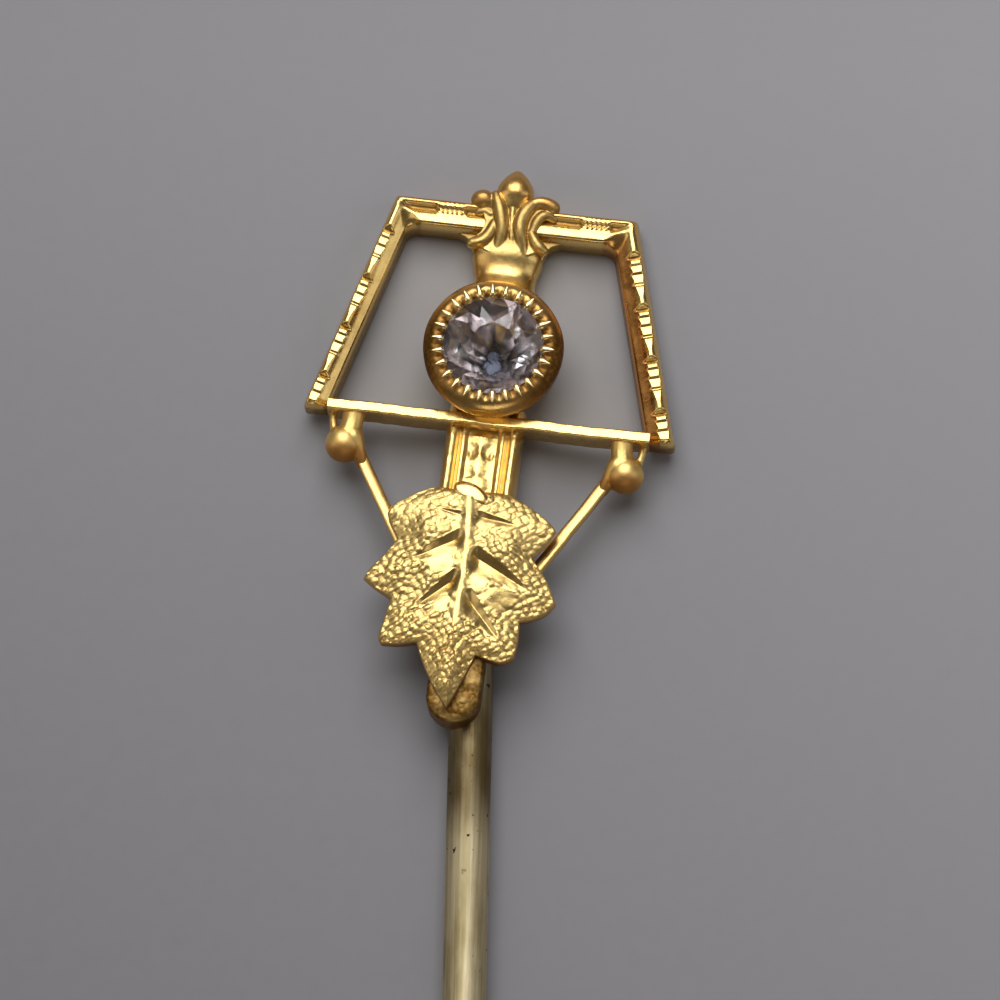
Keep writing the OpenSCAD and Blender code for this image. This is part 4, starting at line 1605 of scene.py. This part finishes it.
@dataclass
class Strip:
    """The backing strip behind the leaf, with a round end under the leaf's tip.

    Attributes:
        levels: heights of the rings of points up its wall.
        back_share: how much of its outline is left at the very back.
        dome: how far its face falls towards its edge.
        edge_round: how far it falls at the very edge.
        pit: depth of its pits and of its slow unevenness.
    """

    half: float = 0.62
    thick: float = 0.9
    top_y: float = -3.5
    end_y: float = -8.78
    shift: float = 0.1
    rings: int = 26
    levels: tuple[float, ...] = (0.03, 0.25, 0.5, 0.72)
    back_share: float = 0.97
    dome: float = 0.06
    edge_round: float = 0.05
    pit: float = 0.014

    def build(self, bench: Bench, gold: Material) -> None:
        """Makes the strip with a slightly domed, pitted face.

        Args:
            bench: where it is set out.
            gold: its material.
        """
        h, end = self.half, self.end_y + self.half
        straight = [(h, y) for y in np.linspace(self.top_y, end, 40)]
        arc = [(h * math.cos(a), end - h * math.sin(a)) for a in np.linspace(0, math.pi, 60)[1:-1]]
        outline = resampled(np.array(straight + arc + [(-x, y) for x, y in reversed(straight)]), 260)
        n = len(outline)
        centre = np.stack([np.zeros(n), np.clip(outline[:, 1], end, self.top_y)], 1)
        t = np.linspace(1, 0.01, self.rings)[:, None]
        x, y = (centre[:, axis] + (outline - centre)[:, axis] * t for axis in (0, 1))
        gap, value = cells(x / 0.16, y / 0.13, 31)
        pits = np.sqrt(mound(gap, 0.75)) * value
        z = self.thick - self.dome * t**4 - self.edge_round * smoothstep(0.93, 1.0, t)
        z = z + self.pit * pits + self.pit * soft_noise(x * 5, y * 5, 32)
        walls = [np.insert(centre + (outline - centre) * self.back_share, 2, 0.0, axis=1)]
        walls += [np.insert(outline * 0.999, 2, level, axis=1) for level in self.levels]
        points = np.concatenate([np.stack(walls), np.stack([x, y, z], -1)])
        # painted shadow of the leaf: the whole strip darkened unevenly, and its walls redder
        copper = np.repeat([0.95, 0.0], [len(walls), self.rings])[:, None]
        grime = 0.9 + 0.3 * soft_noise(points[..., 0] * 4, points[..., 1] * 4, 33)
        shape = lofted(points, copper=copper, grime=grime).moved((self.shift, 0, 0))
        bench.set_out("head_strip", shape, gold)


@dataclass
class Stem:
    """The straight wire, with a tapered point, in the pin's own frame.

    Attributes:
        tip: the point's radius at its very end and at the end of its rounding.
        tip_length: length of that rounding.
        dent: how far the drawn wire is off round.
        tarnish: y where the painted shadow of the head begins and where it is full.
    """

    diameter: float = 1.0
    length: float = 63.0
    point_length: float = 6.0
    top_y: float = 22.93
    sides: int = 72
    tip: Pair = (0.03, 0.075)
    tip_length: float = 0.15
    dent: float = 0.006
    tarnish: Pair = (15.4, 16.8)

    def build(self, bench: Bench, metal: Material) -> None:
        """Makes the wire, very slightly uneven as drawn wire is.

        Args:
            bench: where it is set out.
            metal: its material.
        """
        low, r, around = -self.length / 2, self.diameter / 2, circle(self.sides)
        shoulder = low + self.point_length
        taper, body = np.linspace(low, shoulder, 60), np.linspace(shoulder, self.top_y, 260)
        y = np.concatenate([taper, body[1:]])[:, None]
        swell = np.interp(y, [low, low + self.tip_length, shoulder, self.top_y], [*self.tip, r, r])
        dents = self.dent * soft_noise(y * 0.8, around * 1.2, 41) * np.minimum(swell / r, 1)
        radius = swell - self.dent / 2 + np.minimum(dents, self.dent / 2)
        points = np.broadcast_arrays(radius * np.cos(around), y, r + radius * np.sin(around))
        # the mark tarnish paints the head's shadow on the wire's upper end
        shape = lofted(np.stack(points, -1), tarnish=smoothstep(*self.tarnish, y))
        bench.set_out("stem_wire", shape, metal, node=Node.STEM, slot=Slot.STEM)


@dataclass
class Studio:
    """The pale floor, the soft lights and the camera.

    Attributes:
        scale: pixels to a millimetre at the head.
        target: the point of the head that the camera is set by.
        target_px: where that point lies in the picture.
        aim: the point that the lights are turned to, in metres.
        lights: each light's name, place and size in metres, power and colour.
        air: the sky's colour, and air_level its strength.
        glow_at: middle of the painted warm glow on the floor under the head, in metres.
    """

    azimuth: float = 4.0
    elevation: float = 17.0
    roll: float = 7.5
    distance: float = 110.0
    scale: float = 43.5
    target: Triple = (0.0, 0.0, 1.7)
    target_px: Pair = (492.5, 343.0)
    frame_px: float = 1000.0
    sensor: float = 36.0
    aim: Triple = (0, 0.026, 0)
    lights: tuple[tuple[str, Triple, Pair, float, Triple], ...] = (
        ("key", (-0.04, 0.365, 0.53), (0.56, 0.57), 3.8, (1, 1, 1)),
        ("left", (-0.5, -0.05, 0.3), (0.25, 0.5), 0.36, (1, 0.95, 0.88)),
        ("right", (0.5, 0.0, 0.33), (0.25, 0.5), 0.34, (0.95, 0.96, 1)),
        ("front", (0.05, -0.5, 0.28), (0.4, 0.2), 0.3, (1, 0.9, 0.78)),
    )
    air: Colour = (1.0, 0.89, 0.74, 1)
    air_level: float = 0.08
    floor_half: float = 1.5
    dim_floor: Colour = (0.147, 0.145, 0.156, 1)
    lit_floor: Colour = (0.352, 0.348, 0.372, 1)
    fleck: Colour = (0.5, 0.5, 0.5, 1)
    glow: Colour = (0.5, 0.475, 0.44, 1)
    glow_at: Triple = (0.0004, 0.0275, 0)

    def camera(self, place: Matrix) -> None:
        """Sets the camera where the photograph's was, aimed at the middle of its frame.

        Args:
            place: the matrix of the head's frame.
        """
        az, el, ro = (math.radians(v) for v in (self.azimuth, self.elevation, self.roll))
        back = Vector((math.sin(az) * math.cos(el), -math.sin(el), math.cos(az) * math.cos(el)))
        right = Vector((math.cos(az), 0, -math.sin(az)))
        y_axis = -right * math.sin(ro) + back.cross(right) * math.cos(ro)
        x_axis = right * math.cos(ro) + back.cross(right) * math.sin(ro)
        focal = self.scale * self.distance
        dx = (self.frame_px / 2 - self.target_px[0]) / focal
        dy = -(self.frame_px / 2 - self.target_px[1]) / focal
        ahead = (-back + x_axis * dx + y_axis * dy).normalized()
        x_axis = ahead.cross(y_axis).normalized()
        y_axis = x_axis.cross(ahead)
        spin = place.to_3x3().normalized()
        turn = Matrix([spin @ x_axis, spin @ y_axis, spin @ -ahead]).transposed().to_4x4()
        data = bpy.data.cameras.new("camera")
        data.sensor_width = self.sensor
        data.lens = self.sensor * focal / self.frame_px
        data.clip_start, data.clip_end = 0.005, 5.0
        obj = linked("camera", data)
        obj.matrix_world = Matrix.Translation(place @ (Vector(self.target) + back * self.distance)) @ turn
        bpy.context.scene.camera = obj

    def light(self, name: str, place: Triple, size: Pair, power: float, colour: Triple) -> None:
        """Hangs one soft rectangular light, turned to the head.

        Args:
            name: its name.
            place: where it hangs, in metres.
            size: its width and height, in metres.
            power: its power in watts.
            colour: its colour.
        """
        data = bpy.data.lights.new(name, "AREA")
        data.shape = "RECTANGLE"
        data.size, data.size_y = size
        data.energy = power
        data.color = colour
        turn = (Vector(self.aim) - Vector(place)).to_track_quat("-Z", "Y").to_matrix().to_4x4()
        linked(name, data).matrix_world = Matrix.Translation(place) @ turn

    def floor(self) -> None:
        """Lays the pale floor, with painted light on it: a little lighter away from the stem, and a painted
        glow under the head.
        """
        h = self.floor_half
        mesh = bpy.data.meshes.new("floor")
        mesh.from_pydata([(-h, -h, 0), (h, -h, 0), (h, h, 0), (-h, h, 0)], [], [[0, 1, 2, 3]])
        s = ShadeTree("floor_paper")
        place = s.add("ShaderNodeSeparateXYZ", Vector=s.object_place).outputs
        # painted light: the floor gets lighter to the right and away from the stem, as if the light fell
        # off across it, and a painted warm glow lies under the head where the gold would throw light down
        across = s.spread(place["X"], -0.014, 0.014, 0, 0.35)
        shade = s.math("ADD", across, s.spread(place["Y"], 0.0, 0.034, 0, 0.65))
        gap = s.add("ShaderNodeVectorMath")
        gap.operation = "DISTANCE"
        s.feed(gap.inputs[0], s.object_place)
        s.feed(gap.inputs[1], self.glow_at)
        paper = s.mix(shade, self.dim_floor, self.lit_floor)
        paper = s.mix(s.spread(gap.outputs["Value"], 0.0022, 0.0042, 0.32, 0), paper, self.glow)
        paper = s.mix(s.spread(s.noise(0.4, 4), 0, 1, 0, 0.06), paper, self.fleck)
        mesh.materials.append(s.coat(Base_Color=paper, Roughness=0.9))
        linked("floor", mesh)

    def build(self, place: Matrix) -> None:
        """Sets out the studio.

        Args:
            place: the matrix of the head's frame.
        """
        self.floor()
        world = bpy.data.worlds.new("studio")
        world.use_nodes = True
        ground = world.node_tree.nodes["Background"]
        ground.inputs["Color"].default_value = self.air
        ground.inputs["Strength"].default_value = self.air_level
        bpy.context.scene.world = world
        for light in self.lights:
            self.light(*light)
        self.camera(place)
        bpy.context.scene.view_settings.view_transform = "Standard"


def main() -> None:
    """Builds the pin's pieces in order, then the studio."""
    logging.basicConfig(level=logging.INFO, format="%(message)s")
    bench = Bench(HeadSeat())
    frost_and_dark_centre = {"gold": (0.755, 0.54, 0.2, 1), "hollow_mm": 0.045, "frost_depth_mm": 0.004, "matte": 0.11}
    finishes = (
        GoldFinish("polished_gold", (0.21, 0.33)),
        GoldFinish("frosted_gold", (0.24, 0.36), **frost_and_dark_centre),
        GoldFinish("cast_gold", (0.27, 0.4)),
        GoldFinish("worn_gold", (0.2, 0.3), gold=(0.95, 0.72, 0.34, 1)),
        GoldFinish("dull_gold", (0.4, 0.52)),
    )
    polished, frosted, cast, worn, dull = (finish.material() for finish in finishes)
    FrameBars().build(bench, polished)
    Lily().build(bench, cast)
    Bezel().build(bench, polished, worn)
    Stone().build(bench, StoneFinish().material(), FoilFinish().material())
    Crossbar().build(bench, polished)
    Column().build(bench, cast)
    Struts().build(bench, cast, dull)
    Leaf().build(bench, frosted, polished)
    Strip().build(bench, frosted)
    Stem().build(bench, StemFinish().material())
    Studio().build(bench.place)
    log.info("%d pieces", len(bench.made))


if __name__ == "__main__":
    main()
